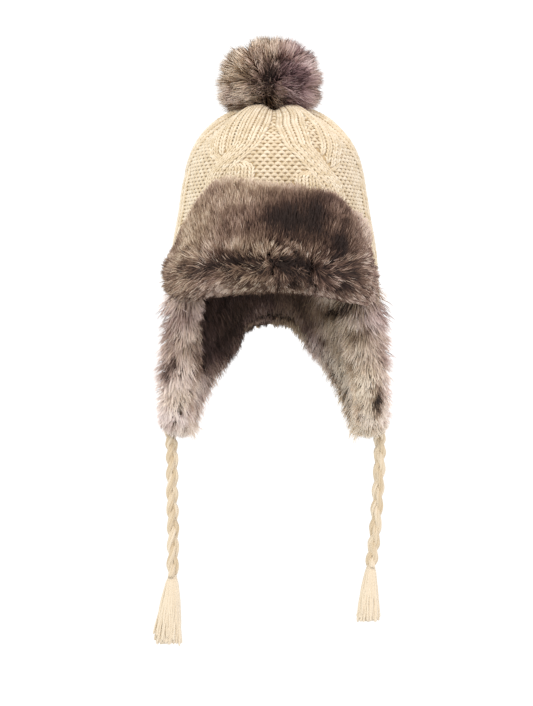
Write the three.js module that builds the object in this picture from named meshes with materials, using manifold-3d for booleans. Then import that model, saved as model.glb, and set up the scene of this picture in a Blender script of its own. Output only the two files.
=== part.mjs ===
// Cable knit earflap cap with deep faux fur, as it keeps its form on a head. A knitted
// crown is gathered under a fur pompom. A fur flap is turned up over the forehead. Two
// fur-lined ear flaps meet at the nape, and each has a braided yarn tie with a tassel.
//
// Millimetres. The origin is the middle of the head opening, level with the rim at the
// forehead. The wearer faces -Y, +X is the viewer's right from the front, and +Z is up.
// An angle round the head is in degrees, 0 at the forehead, 90 at +X and 180 at the nape.
import * as THREE from "three";
import { mergeVertices } from "three/addons/utils/BufferGeometryUtils.js";
import Module from "manifold-3d";

const wasm = await Module();
wasm.setup();

const { clamp, degToRad, lerp, smoothstep } = THREE.MathUtils;

// Clearance between two pieces that touch.
const GAP = 0.3;

// The knit: its wall up to the purl ground, and how far a cable rope stands above that.
const KNIT_WALL = 4.5;
const CABLE_RISE = 4;
// Cable and purl panels alternate round the crown, and each cable is two crossing ropes.
const REPEATS = 6;
const ROPE_OFFSET = 9;
const ROPE_HALF_ANGLE = 9.5;
// The ropes cross at one height on each side of the head and again a pitch below. From
// the front, the upper rope climbs to the right in the left half's cables, and to the
// left in the right half's.
const CROSSINGS = { left: { height: 128, climb: 1 }, right: { height: 106, climb: -1 } };
const CROSSING_PITCH = 84;
const CROSSING_REACH = 15;
// Above this height the purl panels sink into gathers, drawn together by the top thread.
const GATHER_START = 135;
const GATHER_END = 180;
const GATHER_DEPTH = 6;
const CROWN_COLUMNS = 60;
const CROWN_ANGLES = Array.from({ length: CROWN_COLUMNS }, (_, i) => (i * 360) / CROWN_COLUMNS);
const CROWN_ROWS = 15;
const LINING_HEIGHTS = [0, 20, 40, 75, 108, 132, 150, 164, 174];

// The head's form at the purl ground: half the width and half the depth at each height,
// from the tips of the ear flaps, up the crown and over into the dimple of the gather.
const FORM = [
  { z: -150, across: 103, along: 106 },
  { z: -110, across: 106, along: 108 },
  { z: -75, across: 106, along: 110 },
  { z: -35, across: 103, along: 112 },
  { z: 0, across: 101, along: 114 },
  { z: 40, across: 98, along: 111 },
  { z: 75, across: 92, along: 104 },
  { z: 108, across: 87, along: 97 },
  { z: 132, across: 81, along: 90 },
  { z: 150, across: 72, along: 79 },
  { z: 164, across: 60, along: 64 },
  { z: 174, across: 46, along: 48 },
  { z: 180, across: 31, along: 32 },
  { z: 180, across: 17, along: 17 },
  { z: 175, across: 7, along: 7 },
  { z: 172, across: 1.5, along: 1.5 },
];

// The ear flaps' lower edge: its height at each angle, from the temple round to the nape.
const TEMPLE_ANGLE = 62;
const FLAP_EDGE = [
  { angle: 62, z: -5 },
  { angle: 66, z: -38 },
  { angle: 71, z: -76 },
  { angle: 78, z: -110 },
  { angle: 87, z: -130 },
  { angle: 97, z: -136 },
  { angle: 107, z: -131 },
  { angle: 118, z: -110 },
  { angle: 130, z: -84 },
  { angle: 142, z: -62 },
  { angle: 155, z: -44 },
  { angle: 168, z: -34 },
  { angle: 180, z: -31 },
];
const FLAP_ANGLES = FLAP_EDGE.map(({ angle }) => angle);
const FLAP_FACE = 2;
const FLAP_ROWS = 4;

// The flaps' fur: how deep its backing is inwards and how far it turns out round the
// knit's edge, with the length of the locks on it.
const FLAP_FUR = [
  { angle: 62, depth: 16, wrap: 8, lock: 17 },
  { angle: 80, depth: 16, wrap: 8, lock: 17 },
  { angle: 97, depth: 13, wrap: 4, lock: 16 },
  { angle: 118, depth: 14, wrap: 6, lock: 17 },
  { angle: 145, depth: 13, wrap: 6, lock: 17 },
  { angle: 180, depth: 10, wrap: 4, lock: 14 },
];
const FUR_TOP = 38;
const FUR_OVERHANG = 8;
const FUR_SPREAD_ANGLE = 3.5;
// The locks inside the flaps stand in staggered rows, this far apart up and round.
const FUR_LOCKS = { rows: 5, columns: 8, pitch: 28, angle: 17, width: 24, highest: 4 };
const HEM_LOCK_WIDTH = 20;
// The space that the fur leaves for a tie where it passes through to the knit's edge.
const TIE_SPACE = { margin: 1.5, length: 40, above: 0.6 };
// The locks along the knit's edge, and how far each one falls rather than stands out.
const HEM_LOCKS = [
  { angle: 62.3, z: -14, length: 27, fall: -0.1 },
  { angle: 62.8, z: -33, length: 27, fall: 0 },
  { angle: 64.5, z: -52, length: 23, fall: 0.1 },
  { angle: 67.5, z: -72, length: 19, fall: 0.2 },
  { angle: 71, z: -90, length: 16, fall: 0.3 },
  { angle: 75.5, z: -107, length: 14, fall: 0.35 },
  { angle: 82, z: -124, length: 10, fall: 0.5 },
  { angle: 91, z: -134, length: 8, fall: 0.8 },
  { angle: 104, z: -133, length: 8, fall: 0.8 },
  { angle: 116, z: -117, length: 12, fall: 0.6 },
  { angle: 131, z: -88, length: 13, fall: 0.6 },
  { angle: 150, z: -57, length: 12, fall: 0.8 },
  { angle: 169, z: -41, length: 11, fall: 0.9 },
];

// The turned-up front flap: its height above the rim and its pile's depth at each angle.
const FRONT_FLAP_END = 61;
const FRONT_FLAP = [
  { angle: -66, height: 16, depth: 14 },
  { angle: -60, height: 44, depth: 14 },
  { angle: -53, height: 67, depth: 13 },
  { angle: -45, height: 84, depth: 12 },
  { angle: -37, height: 96, depth: 11 },
  { angle: -28, height: 100, depth: 10 },
  { angle: -19, height: 98, depth: 10 },
  { angle: -10, height: 95, depth: 10 },
  { angle: 0, height: 93, depth: 10 },
  { angle: 10, height: 92, depth: 10 },
  { angle: 19, height: 90, depth: 10 },
  { angle: 28, height: 88, depth: 10 },
  { angle: 37, height: 83, depth: 10 },
  { angle: 46, height: 74, depth: 10 },
  { angle: 54, height: 57, depth: 10 },
  { angle: 60, height: 38, depth: 9 },
  { angle: 66, height: 14, depth: 9 },
];
// Its locks stand in staggered rows, this far apart up, in columns from temple to temple.
const FRONT_LOCKS = { rows: 6, columns: 8, pitch: 25, lowest: 11, length: 13, width: 20 };
// Above this height the pile lies upwards, and below it the pile turns under the fold.
const FRONT_FLAP_PARTING = 18;
// The fold hangs lower at the temples than at the middle of the forehead.
const FOLD_MIDDLE = -5;
const FOLD_TEMPLE = -14;

const POMPOM_RADIUS = 51;
const POMPOM_CORE_RADIUS = 43;
const POMPOM_MIDDLE = { x: -4, y: 2, z: 206 };
const POMPOM_LOCKS = 36;
// The rows of the crown's top that the pompom sits on.
const POMPOM_SEAT_ROWS = 5;

// Each tie's centreline, from the tip of its flap down to its tassel.
const TIE_DIAMETER = 11;
const TIE_SIDES = 10;
const TIE_STEPS = 8;
const TIES = [
  {
    side: "left",
    route: [
      [-104.5, 13, -136.3],
      [-102.5, 12.5, -165],
      [-102.5, 12, -205],
      [-101.5, 12, -245],
      [-102, 12, -288],
    ],
    tassel: { length: 67, spread: 25, lean: -3 },
  },
  {
    side: "right",
    route: [
      [106, 13, -136.3],
      [106.5, 12.5, -165],
      [104.5, 12, -205],
      [101.5, 12, -245],
      [97.5, 12, -278],
    ],
    tassel: { length: 52, spread: 21, lean: -3 },
  },
];
const TASSEL_HEAD = 9;
const TASSEL_STRIPS = 9;
const STRIP_CORNERS = [
  [-1, -1],
  [1, -1],
  [1, 1],
  [-1, 1],
];

const cream = new THREE.MeshStandardMaterial({ color: 0xe6d6ae, roughness: 0.95, metalness: 0 });
const paleCream = new THREE.MeshStandardMaterial({ color: 0xeadfc0, roughness: 0.95, metalness: 0 });
const brownFur = new THREE.MeshStandardMaterial({ color: 0x7a6a5e, roughness: 0.85, metalness: 0 });
const greyFur = new THREE.MeshStandardMaterial({ color: 0x9c8d7e, roughness: 0.85, metalness: 0 });

// A value of a table at a place between its rows, such as a height at an angle.
function fromTable(rows, key, at, column) {
  let i = 0;
  while (i < rows.length - 2 && rows[i + 1][key] < at) i += 1;
  const share = clamp((at - rows[i][key]) / (rows[i + 1][key] - rows[i][key]), 0, 1);
  return lerp(rows[i][column], rows[i + 1][column], share);
}

// The same scatter each time, from 0 to 1, for a lock's number and one of its sizes.
function scatter(number, size) {
  const wave = Math.sin(number * 12.9898 + size * 78.233) * 43758.5453;
  return wave - Math.floor(wave);
}

const formCurve = new THREE.CatmullRomCurve3(
  FORM.map(({ z, across, along }) => new THREE.Vector3(across, along, z)),
  false,
  "centripetal",
);

// Where the form's curve passes a height, below the gathers.
function curvePlace(z) {
  let low = 0;
  let high = 0.8;
  for (let i = 0; i < 40; i += 1) {
    const middle = (low + high) / 2;
    if (formCurve.getPoint(middle).z < z) low = middle;
    else high = middle;
  }
  return low;
}

// A point at a place on the form's curve, an angle round the head and a height out of the
// purl ground.
function formPoint(place, angle, out) {
  const ground = formCurve.getPoint(place);
  const slope = formCurve.getTangent(place);
  const length = Math.hypot(slope.x, slope.z);
  const [outwards, upwards] = [slope.z / length, -slope.x / length];
  const turn = degToRad(angle);
  return new THREE.Vector3(
    (ground.x + out * outwards) * Math.sin(turn),
    -(ground.y + out * outwards) * Math.cos(turn),
    ground.z + out * upwards,
  );
}

// A point beside the head, where the wall is nearly upright: out is level.
function wallPoint(angle, z, out) {
  const ground = formCurve.getPoint(curvePlace(z));
  const turn = degToRad(angle);
  return new THREE.Vector3(
    (ground.x + out) * Math.sin(turn),
    -(ground.y + out) * Math.cos(turn),
    z,
  );
}

function outwardsAt(angle) {
  return new THREE.Vector3(Math.sin(degToRad(angle)), -Math.cos(degToRad(angle)), 0);
}

// The normal of the upright plane from the head's middle out to an angle, towards larger
// angles.
function planeAt(angle) {
  const edge = wallPoint(angle, 0, 0);
  return new THREE.Vector3(-edge.y, edge.x, 0).normalize().toArray();
}

// The triangles that close one end of a loft, in the sense that matches its sides.
function endTriangles(loop, forwards) {
  const normal = new THREE.Vector3();
  loop.forEach((p, i) => normal.add(new THREE.Vector3().crossVectors(p, loop[(i + 1) % loop.length])));
  const across = new THREE.Vector3().subVectors(loop[1], loop[0]).normalize();
  const along = new THREE.Vector3().crossVectors(normal, across).normalize();
  const flat = loop.map((p) => new THREE.Vector2(p.dot(across), p.dot(along)));
  const sense = THREE.ShapeUtils.area(flat) * (forwards ? 1 : -1);
  return THREE.ShapeUtils.triangulateShape([...flat], []).map(([a, b, c]) =>
    THREE.ShapeUtils.area([flat[a], flat[b], flat[c]]) * sense > 0 ? [a, b, c] : [a, c, b],
  );
}

// A closed body through a row of loops that all have the same number of points.
function loft(loops) {
  const count = loops[0].length;
  const triangles = [];
  for (let row = 0; row + 1 < loops.length; row += 1)
    for (let i = 0; i < count; i += 1) {
      const [a, b] = [row * count + i, row * count + ((i + 1) % count)];
      triangles.push([a, b, b + count], [a, b + count, a + count]);
    }
  const last = (loops.length - 1) * count;
  triangles.push(...endTriangles(loops[0], false));
  triangles.push(...endTriangles(loops.at(-1), true).map((t) => t.map((i) => i + last)));

  const points = loops.flat();
  const volume = triangles.reduce(
    (sum, [a, b, c]) => sum + points[a].dot(new THREE.Vector3().crossVectors(points[b], points[c])),
    0,
  );
  const facing = volume < 0 ? triangles.map(([a, b, c]) => [a, c, b]) : triangles;
  return new THREE.BufferGeometry().setFromPoints(points).setIndex(facing.flat());
}

function solidOf(geometry) {
  const bare = geometry.clone();
  bare.deleteAttribute("normal");
  bare.deleteAttribute("uv");
  const merged = mergeVertices(bare, 1e-3);
  return new wasm.Manifold(
    new wasm.Mesh({
      numProp: 3,
      vertProperties: new Float32Array(merged.attributes.position.array),
      triVerts: new Uint32Array(merged.index.array),
    }),
  );
}

function fuse(solids) {
  return wasm.Manifold.union(solids);
}

function meshOf(name, solid, material) {
  const made = solid.getMesh();
  const geometry = new THREE.BufferGeometry()
    .setAttribute("position", new THREE.BufferAttribute(made.vertProperties, 3))
    .setIndex(new THREE.BufferAttribute(made.triVerts, 1));
  geometry.computeVertexNormals();
  const mesh = new THREE.Mesh(geometry, material);
  mesh.name = name;
  return mesh;
}

// The head's form between two heights, its wall moved out or in: fur is kept clear by it.
function formBlock(out, low, high) {
  const heights = Array.from({ length: 9 }, (_, i) => lerp(low, high, i / 8));
  return solidOf(
    loft(
      heights.map((z) =>
        CROWN_ANGLES.map((angle) => wallPoint(angle, z, out)),
      ),
    ),
  );
}

// One lock of fur: a four-sided spike, its tip moved aside the way the fur lies.
function lock({ root, out, lay, length, width }) {
  const spike = new THREE.ConeGeometry(width / 2, length, 4, 1);
  spike.translate(0, length / 2, 0);
  const position = spike.attributes.position;
  const up = new THREE.Vector3(0, 1, 0);
  const turn = new THREE.Quaternion().setFromUnitVectors(up, out.clone().normalize());
  for (let i = 0; i < position.count; i += 1) {
    const point = new THREE.Vector3().fromBufferAttribute(position, i);
    const bend = Math.max(0, point.y);
    point.applyQuaternion(turn).add(root).addScaledVector(lay, bend);
    position.setXYZ(i, point.x, point.y, point.z);
  }
  return solidOf(spike);
}

// How far the angle is across a rope that is centred somewhere: 1 on its crest, 0 past it.
function ropeCrest(offset, centre) {
  return Math.sqrt(Math.max(0, 1 - ((offset - centre) / ROPE_HALF_ANGLE) ** 2));
}

// The knit's rise over its purl ground. At a crossing one rope climbs over the other one,
// which dips behind it.
function cableRise(angle, z) {
  const panel = 360 / REPEATS;
  const offset = THREE.MathUtils.euclideanModulo(angle, panel) - panel / 2;
  const half = THREE.MathUtils.euclideanModulo(angle, 360) < 180 ? "right" : "left";
  const { height, climb } = CROSSINGS[half];
  const from = THREE.MathUtils.euclideanModulo(z - height + CROSSING_PITCH / 2, CROSSING_PITCH);
  const swing = clamp((from - CROSSING_PITCH / 2) / CROSSING_REACH, -1, 1);
  const centre = climb * ROPE_OFFSET * swing;
  const dip = 0.6 * (1 - Math.abs(swing));
  return CABLE_RISE * Math.max(ropeCrest(offset, centre), (1 - dip) * ropeCrest(offset, -centre));
}

// How far a purl panel sinks between the cables where the top is gathered.
function gatherDip(angle, z, place) {
  const offset = THREE.MathUtils.euclideanModulo(angle, 360 / REPEATS) * REPEATS;
  const between = (1 + Math.cos(degToRad(offset))) / 2;
  const gathered = place > curvePlace(GATHER_START) ? smoothstep(z, GATHER_START, GATHER_END - 10) : 0;
  return GATHER_DEPTH * between * gathered;
}

// The relief fades out in the middle of the gather.
function reliefShare(place) {
  return smoothstep(formCurve.getPoint(place).x, 4, 24);
}

function crownRing(place, outOf) {
  const ground = formCurve.getPoint(place);
  const relief = reliefShare(place);
  return CROWN_ANGLES.map((angle) => {
    const dip = relief * gatherDip(angle, ground.z, place);
    return formPoint(place, angle, outOf(angle, ground.z, relief) - dip);
  });
}

// A row of the crown's outside, counted from the middle of the gather down to the rim.
function crownRow(row) {
  return lerp(1, curvePlace(0), row / CROWN_ROWS);
}

// The crown: one knitted wall, from the middle of the gather down to the rim outside and
// back up inside.
function knitCrown() {
  const loops = [];
  for (let row = 0; row <= CROWN_ROWS; row += 1)
    loops.push(crownRing(crownRow(row), (angle, z, relief) => relief * cableRise(angle, z)));
  for (const z of LINING_HEIGHTS) loops.push(crownRing(curvePlace(z), () => -KNIT_WALL));
  loops.push(crownRing(crownRow(1), () => -KNIT_WALL), crownRing(1, () => -KNIT_WALL));
  return solidOf(loft(loops));
}

function flapEdge(angle) {
  return fromTable(FLAP_EDGE, "angle", angle, "z");
}

// The fur's own edge stands out past the knit's, sideways and down.
function furEdge(angle) {
  const near = [-FUR_SPREAD_ANGLE, 0, FUR_SPREAD_ANGLE].map((step) =>
    flapEdge(clamp(angle + step, TEMPLE_ANGLE, 180)),
  );
  return Math.min(...near) - FUR_OVERHANG;
}

// A knitted ear flap, from the temple to the middle of the nape, hung from the rim. With
// a margin it is the space that the fur round it leaves free.
function earFlap(side, margin = 0) {
  const seam = 0.1;
  return solidOf(
    loft(
      FLAP_ANGLES.map((angle) => {
        const at = side * Math.min(angle, 180 - seam);
        const heights = Array.from({ length: FLAP_ROWS + 1 }, (_, row) =>
          lerp(-GAP + 2 * margin, flapEdge(angle) - margin, row / FLAP_ROWS),
        );
        return [
          ...heights.map((z) => wallPoint(at, z, FLAP_FACE + margin)),
          ...heights.reverse().map((z) => wallPoint(at, z, -KNIT_WALL - margin)),
        ];
      }),
    ),
  );
}

// The fur on the inside of a flap: a thick backing that turns out round the knit's edge,
// with locks that lie downwards over it and hang past the edge.
function flapFur(side, { route: [[tieX, tieY, tieTop]] }) {
  const face = -KNIT_WALL - GAP;
  const backing = solidOf(
    loft(
      [TEMPLE_ANGLE - 2, ...FLAP_ANGLES].map((angle) => {
        const depth = fromTable(FLAP_FUR, "angle", angle, "depth");
        const wrap = FLAP_FACE + fromTable(FLAP_FUR, "angle", angle, "wrap");
        const knit = flapEdge(Math.max(angle, TEMPLE_ANGLE));
        const edge = furEdge(angle);
        return [
          ...[FUR_TOP, FUR_TOP / 2, 0].map((z) => [face - 2 * GAP, z]),
          ...[0.25, 0.5, 0.75, 1].map((share) => [face, share * (knit - GAP)]),
          [wrap - 2, knit - GAP - 1],
          [wrap, edge + 2],
          [face, edge - 3],
          [face - depth * 0.8, edge + 3],
          [face - depth, knit * 0.66 + edge * 0.34 + 6],
          [face - depth * 0.9, knit * 0.35],
          [face - depth * 0.5, FUR_TOP],
        ].map(([out, z]) => wallPoint(side * angle, z, out));
      }),
    ),
  );

  const down = new THREE.Vector3(0, 0, -1);
  const innerLocks = [];
  for (let column = 0; column < FUR_LOCKS.columns; column += 1)
    for (let row = 0; row < FUR_LOCKS.rows; row += 1) {
      const number = column * FUR_LOCKS.rows + row;
      const angle = TEMPLE_ANGLE + 1 + (column + (row % 2) / 2) * FUR_LOCKS.angle;
      if (angle > 178) continue;
      const z = furEdge(angle) + FUR_OVERHANG + row * FUR_LOCKS.pitch;
      if (z > FUR_LOCKS.highest) continue;
      const depth = fromTable(FLAP_FUR, "angle", angle, "depth");
      const length = fromTable(FLAP_FUR, "angle", angle, "lock") * (0.9 + 0.3 * scatter(number, 1));
      innerLocks.push(
        lock({
          root: wallPoint(side * angle, z, face - depth * 0.6),
          out: outwardsAt(side * angle).negate().addScaledVector(down, row ? 0.4 : 1),
          lay: new THREE.Vector3(0.4 * scatter(number, 2) - 0.2, 0.4 * scatter(number, 3) - 0.2, -0.4),
          length: row ? length : length * 0.65,
          width: FUR_LOCKS.width * (1 + 0.15 * scatter(number, 4)),
        }),
      );
    }
  const hemLocks = HEM_LOCKS.map(({ angle, z, length, fall }, i) =>
    lock({
      root: wallPoint(side * angle, z, FLAP_FACE),
      out: outwardsAt(side * angle)
        .addScaledVector(down, fall)
        .addScaledVector(outwardsAt(side * (angle - 90)), angle > 97 ? -0.2 : 0.3),
      lay: new THREE.Vector3(0, (scatter(i, 2) - 0.5) * 0.4, -0.15),
      length,
      width: HEM_LOCK_WIDTH,
    }),
  );

  const behindTemple = planeAt(side * FRONT_FLAP_END).map((value) => value * side);
  const spaceRadius = TIE_DIAMETER / 2 + TIE_SPACE.margin;
  const tieSpace = new THREE.CylinderGeometry(spaceRadius, spaceRadius, TIE_SPACE.length, 12);
  tieSpace.rotateX(Math.PI / 2);
  tieSpace.translate(tieX, tieY, tieTop + TIE_SPACE.above - TIE_SPACE.length / 2);
  return fuse([
    backing,
    fuse(hemLocks).trimByPlane([0, 0, -1], 2 * GAP).subtract(earFlap(side, 2 * GAP)),
    fuse(innerLocks).intersect(formBlock(face - 2 * GAP, -160, FUR_TOP)),
  ])
    .trimByPlane([side, 0, 0], GAP / 2)
    .trimByPlane(behindTemple, GAP / 2)
    .subtract(earFlap(side, 0.8 * GAP))
    .subtract(solidOf(tieSpace));
}

// The front flap: thick fur on a backing, folded under the rim and up over the crown.
function frontFlap() {
  const face = CABLE_RISE + GAP + 0.5;
  const backing = solidOf(
    loft(
      FRONT_FLAP.map(({ angle, height, depth }) => {
        const fold = lerp(FOLD_MIDDLE, FOLD_TEMPLE, Math.min(1, Math.abs(angle) / 55) ** 2);
        return [
          ...[0, 0.25, 0.5, 0.75, 1].map((share) => [face, lerp(-GAP, height - 3, share)]),
          [face + 3, height],
          [face + depth * 0.9, height - 3],
          [face + depth, height * 0.7],
          [face + depth, height * 0.4],
          [face + depth + 4, Math.min(FRONT_FLAP_PARTING - 4, height * 0.3)],
          [face + depth + 3, fold + 5],
          [face + depth * 0.4, fold],
          [-KNIT_WALL - 5, (fold - GAP) / 2 - 2],
          [-KNIT_WALL - 5, -GAP],
        ].map(([out, z]) => wallPoint(angle, z, out));
      }),
    ),
  );

  const locks = [];
  const end = FRONT_FLAP_END - 1;
  for (let column = 0; column <= FRONT_LOCKS.columns; column += 1)
    for (let row = 0; row < FRONT_LOCKS.rows; row += 1) {
      const number = 100 + column * FRONT_LOCKS.rows + row;
      const angle = lerp(-end, end, (column + (row % 2) / 2) / FRONT_LOCKS.columns);
      if (angle > end) continue;
      const height = fromTable(FRONT_FLAP, "angle", angle, "height");
      const depth = fromTable(FRONT_FLAP, "angle", angle, "depth");
      const z = row ? FRONT_LOCKS.lowest + (row - 1) * FRONT_LOCKS.pitch : -1 - Math.abs(angle) / 9;
      if (z > height - 2) continue;
      const up = z > FRONT_FLAP_PARTING;
      const out = outwardsAt(angle).multiplyScalar(up ? 0.75 : 1);
      if (up) out.z = 0.8;
      else out.z = row ? -0.1 : -0.9;
      const length = FRONT_LOCKS.length * (0.9 + 0.3 * scatter(number, 1));
      locks.push(
        lock({
          root: wallPoint(angle, z, face + depth - 5),
          out,
          lay: new THREE.Vector3((scatter(number, 2) - 0.5) * 0.3, 0, up ? 0.25 : -0.35),
          length: row ? length : length * 0.7,
          width: FRONT_LOCKS.width * (1 + 0.2 * scatter(number, 4)),
        }),
      );
    }

  return fuse([backing, fuse(locks).subtract(formBlock(face, -60, 130))])
    .trimByPlane(planeAt(-FRONT_FLAP_END), GAP / 2)
    .trimByPlane(
      planeAt(FRONT_FLAP_END).map((value) => -value),
      GAP / 2,
    );
}

// The pompom: a round core whose underside follows the gathered crown, with locks all
// round it.
function pompom() {
  const { x, y, z } = POMPOM_MIDDLE;
  const seat = Array.from({ length: POMPOM_SEAT_ROWS }, (_, row) => {
    const place = crownRow(row);
    const crest = formPoint(place, 0, reliefShare(place) * CABLE_RISE + 1.3 * GAP);
    return new THREE.Vector2(row ? Math.abs(crest.y) : 0, crest.z);
  });
  const from = seat.at(-1);
  const begin = Math.atan2(from.y - z, from.x);
  const steps = 8;
  const round = Array.from({ length: steps }, (_, i) => {
    const tilt = lerp(begin, Math.PI / 2, (i + 1) / steps);
    return new THREE.Vector2(
      i === steps - 1 ? 0 : POMPOM_CORE_RADIUS * Math.cos(tilt),
      z + POMPOM_CORE_RADIUS * Math.sin(tilt),
    );
  });
  const core = new THREE.LatheGeometry([...seat, ...round], 20);
  core.rotateX(Math.PI / 2);
  const position = core.attributes.position;
  for (let i = 0; i < position.count; i += 1) {
    const above = smoothstep(position.getZ(i), from.y + 1, from.y + 20);
    position.setXY(i, position.getX(i) + x * above, position.getY(i) + y * above);
  }

  const root = POMPOM_CORE_RADIUS - 6;
  const locks = Array.from({ length: POMPOM_LOCKS }, (_, i) => {
    const rise = lerp(0.98, -0.5, (i + 0.5) / POMPOM_LOCKS);
    const turn = i * Math.PI * (3 - Math.sqrt(5));
    const out = new THREE.Vector3(Math.cos(turn), Math.sin(turn), 0);
    out.multiplyScalar(Math.sqrt(1 - rise * rise)).setZ(rise);
    return lock({
      root: new THREE.Vector3(x, y, z).addScaledVector(out, root),
      out,
      lay: new THREE.Vector3((scatter(i, 2) - 0.5) * 0.5, (scatter(i, 3) - 0.5) * 0.5, 0.05),
      length: (POMPOM_RADIUS - root) * (0.9 + 0.25 * scatter(i, 1)),
      width: 24 + 4 * scatter(i, 4),
    });
  });
  const crownTop = solidOf(
    loft(
      Array.from({ length: 12 }, (_, i) => lerp(curvePlace(GATHER_START), 0.99, i / 11)).map((place) =>
        Array.from({ length: 36 }, (__, i) => formPoint(place, i * 10, CABLE_RISE + 3 * GAP)),
      ),
    ),
  );
  return fuse([solidOf(core), fuse(locks).subtract(crownTop)]);
}

function tieCurve({ route }) {
  return new THREE.CatmullRomCurve3(route.map((point) => new THREE.Vector3(...point)));
}

function tie(spec) {
  const section = new THREE.Shape(
    Array.from({ length: TIE_SIDES }, (_, i) => {
      const turn = (i * 2 * Math.PI) / TIE_SIDES;
      return new THREE.Vector2(Math.cos(turn), Math.sin(turn)).multiplyScalar(TIE_DIAMETER / 2);
    }),
  );
  const extrudePath = tieCurve(spec);
  return solidOf(
    new THREE.ExtrudeGeometry(section, { extrudePath, steps: TIE_STEPS, bevelEnabled: false }),
  );
}

// A tassel: a bound head under the braid, and strips of yarn that spread from it, one in
// the middle and the others round it.
function tassel({ route, tassel: { length, spread, lean } }) {
  const [x, y, z] = route.at(-1);
  const top = z - 2 * GAP;
  const head = new THREE.CylinderGeometry(TIE_DIAMETER * 0.42, TIE_DIAMETER * 0.5, TASSEL_HEAD, 10);
  head.rotateX(Math.PI / 2);
  head.translate(x, y, top - TASSEL_HEAD / 2);

  const start = top - TASSEL_HEAD / 2;
  const strips = Array.from({ length: TASSEL_STRIPS }, (_, i) => {
    const turn = (i * 2 * Math.PI) / (TASSEL_STRIPS - 1);
    const reach = i ? 1 : 0;
    const long = length - TASSEL_HEAD / 2 - 8 * scatter(i + length, 1);
    const sections = [0, 0.45, 1].map((share) => {
      const wide = reach * lerp(2.4, spread / 2 - 3, share ** 0.8);
      const thick = lerp(1.8, 3.1, share);
      const middle = [x + Math.cos(turn) * wide + lean * share, y + Math.sin(turn) * wide * 0.7];
      return STRIP_CORNERS.map(
        ([a, b]) => new THREE.Vector3(middle[0] + a * thick, middle[1] + b * thick, start - long * share),
      );
    });
    return solidOf(loft(sections));
  });
  return fuse([solidOf(head), ...strips]);
}

const cap = new THREE.Group();
cap.add(meshOf("knit_crown", knitCrown(), cream));
cap.add(meshOf("front_flap", frontFlap(), brownFur));
cap.add(meshOf("pompom", pompom(), brownFur));
for (const spec of TIES) {
  const side = spec.side === "right" ? 1 : -1;
  cap.add(meshOf(`ear_flap_${spec.side}`, earFlap(side), cream));
  cap.add(meshOf(`flap_fur_${spec.side}`, flapFur(side, spec), greyFur));
  cap.add(meshOf(`tie_${spec.side}`, tie(spec), paleCream));
  cap.add(meshOf(`tassel_${spec.side}`, tassel(spec), paleCream));
}

export default cap;
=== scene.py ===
# Cable knit earflap cap: the looks of a knitted winter cap with deep faux fur, built over
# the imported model. Sizes are millimetres until a mesh is made. The origin is the middle of
# the head opening, the wearer faces -Y, and an angle round the head is in degrees, 0 at
# the forehead, 90 at +X and 180 at the nape.
import math

import bmesh
import bpy
import numpy as np
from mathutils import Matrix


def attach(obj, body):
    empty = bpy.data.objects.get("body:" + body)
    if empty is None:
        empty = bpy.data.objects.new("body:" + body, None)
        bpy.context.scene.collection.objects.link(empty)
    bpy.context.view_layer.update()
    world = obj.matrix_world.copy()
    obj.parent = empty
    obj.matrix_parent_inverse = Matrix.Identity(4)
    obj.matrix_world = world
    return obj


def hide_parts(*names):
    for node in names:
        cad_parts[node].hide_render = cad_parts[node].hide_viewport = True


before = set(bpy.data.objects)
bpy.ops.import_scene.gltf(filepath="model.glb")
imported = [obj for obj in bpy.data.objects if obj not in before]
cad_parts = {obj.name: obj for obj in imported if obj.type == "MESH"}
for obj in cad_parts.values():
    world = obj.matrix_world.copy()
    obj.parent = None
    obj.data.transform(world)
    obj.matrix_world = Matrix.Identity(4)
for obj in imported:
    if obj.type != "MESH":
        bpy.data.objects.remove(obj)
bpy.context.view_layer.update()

# Camera. It stands level with the ear flaps, 1.85 m in front of the cap, and frames it
# as the photograph does: a millimetre at the cap's middle is a pixel of a 706 pixel height.
MM = 0.001
CAMERA_DISTANCE = 1850
CAMERA_SIDE = -7.5
CAMERA_HEIGHT = -63
FRAME_HEIGHT = 706
SENSOR_HEIGHT = 36
camera_data = bpy.data.cameras.new("front_camera")
camera_data.sensor_fit = "VERTICAL"
camera_data.sensor_height = SENSOR_HEIGHT
camera_data.lens = SENSOR_HEIGHT * CAMERA_DISTANCE / FRAME_HEIGHT
camera = bpy.data.objects.new("front_camera", camera_data)
camera.location = np.array([CAMERA_SIDE, -CAMERA_DISTANCE, CAMERA_HEIGHT]) * MM
camera.rotation_euler = (math.radians(90), 0, 0)
bpy.context.scene.collection.objects.link(camera)
bpy.context.scene.camera = camera

# Braided ties. Each one is a three-strand plait of cream acrylic yarn, sewn to the tip of
# its ear flap and hanging free. A strand is a bundle of five yarns laid side by side.
PLAIT_STRANDS = 3
PLAIT_PERIOD = 50
PLAIT_SWAY = 3.4
PLAIT_DEPTH = 1.6
TIE_STEP = 2
BUNDLE_YARNS = 5
BUNDLE_RADIUS = 1.8
BUNDLE_TWIST = 70
TIE_YARN_RADIUS = 1.5
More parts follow.
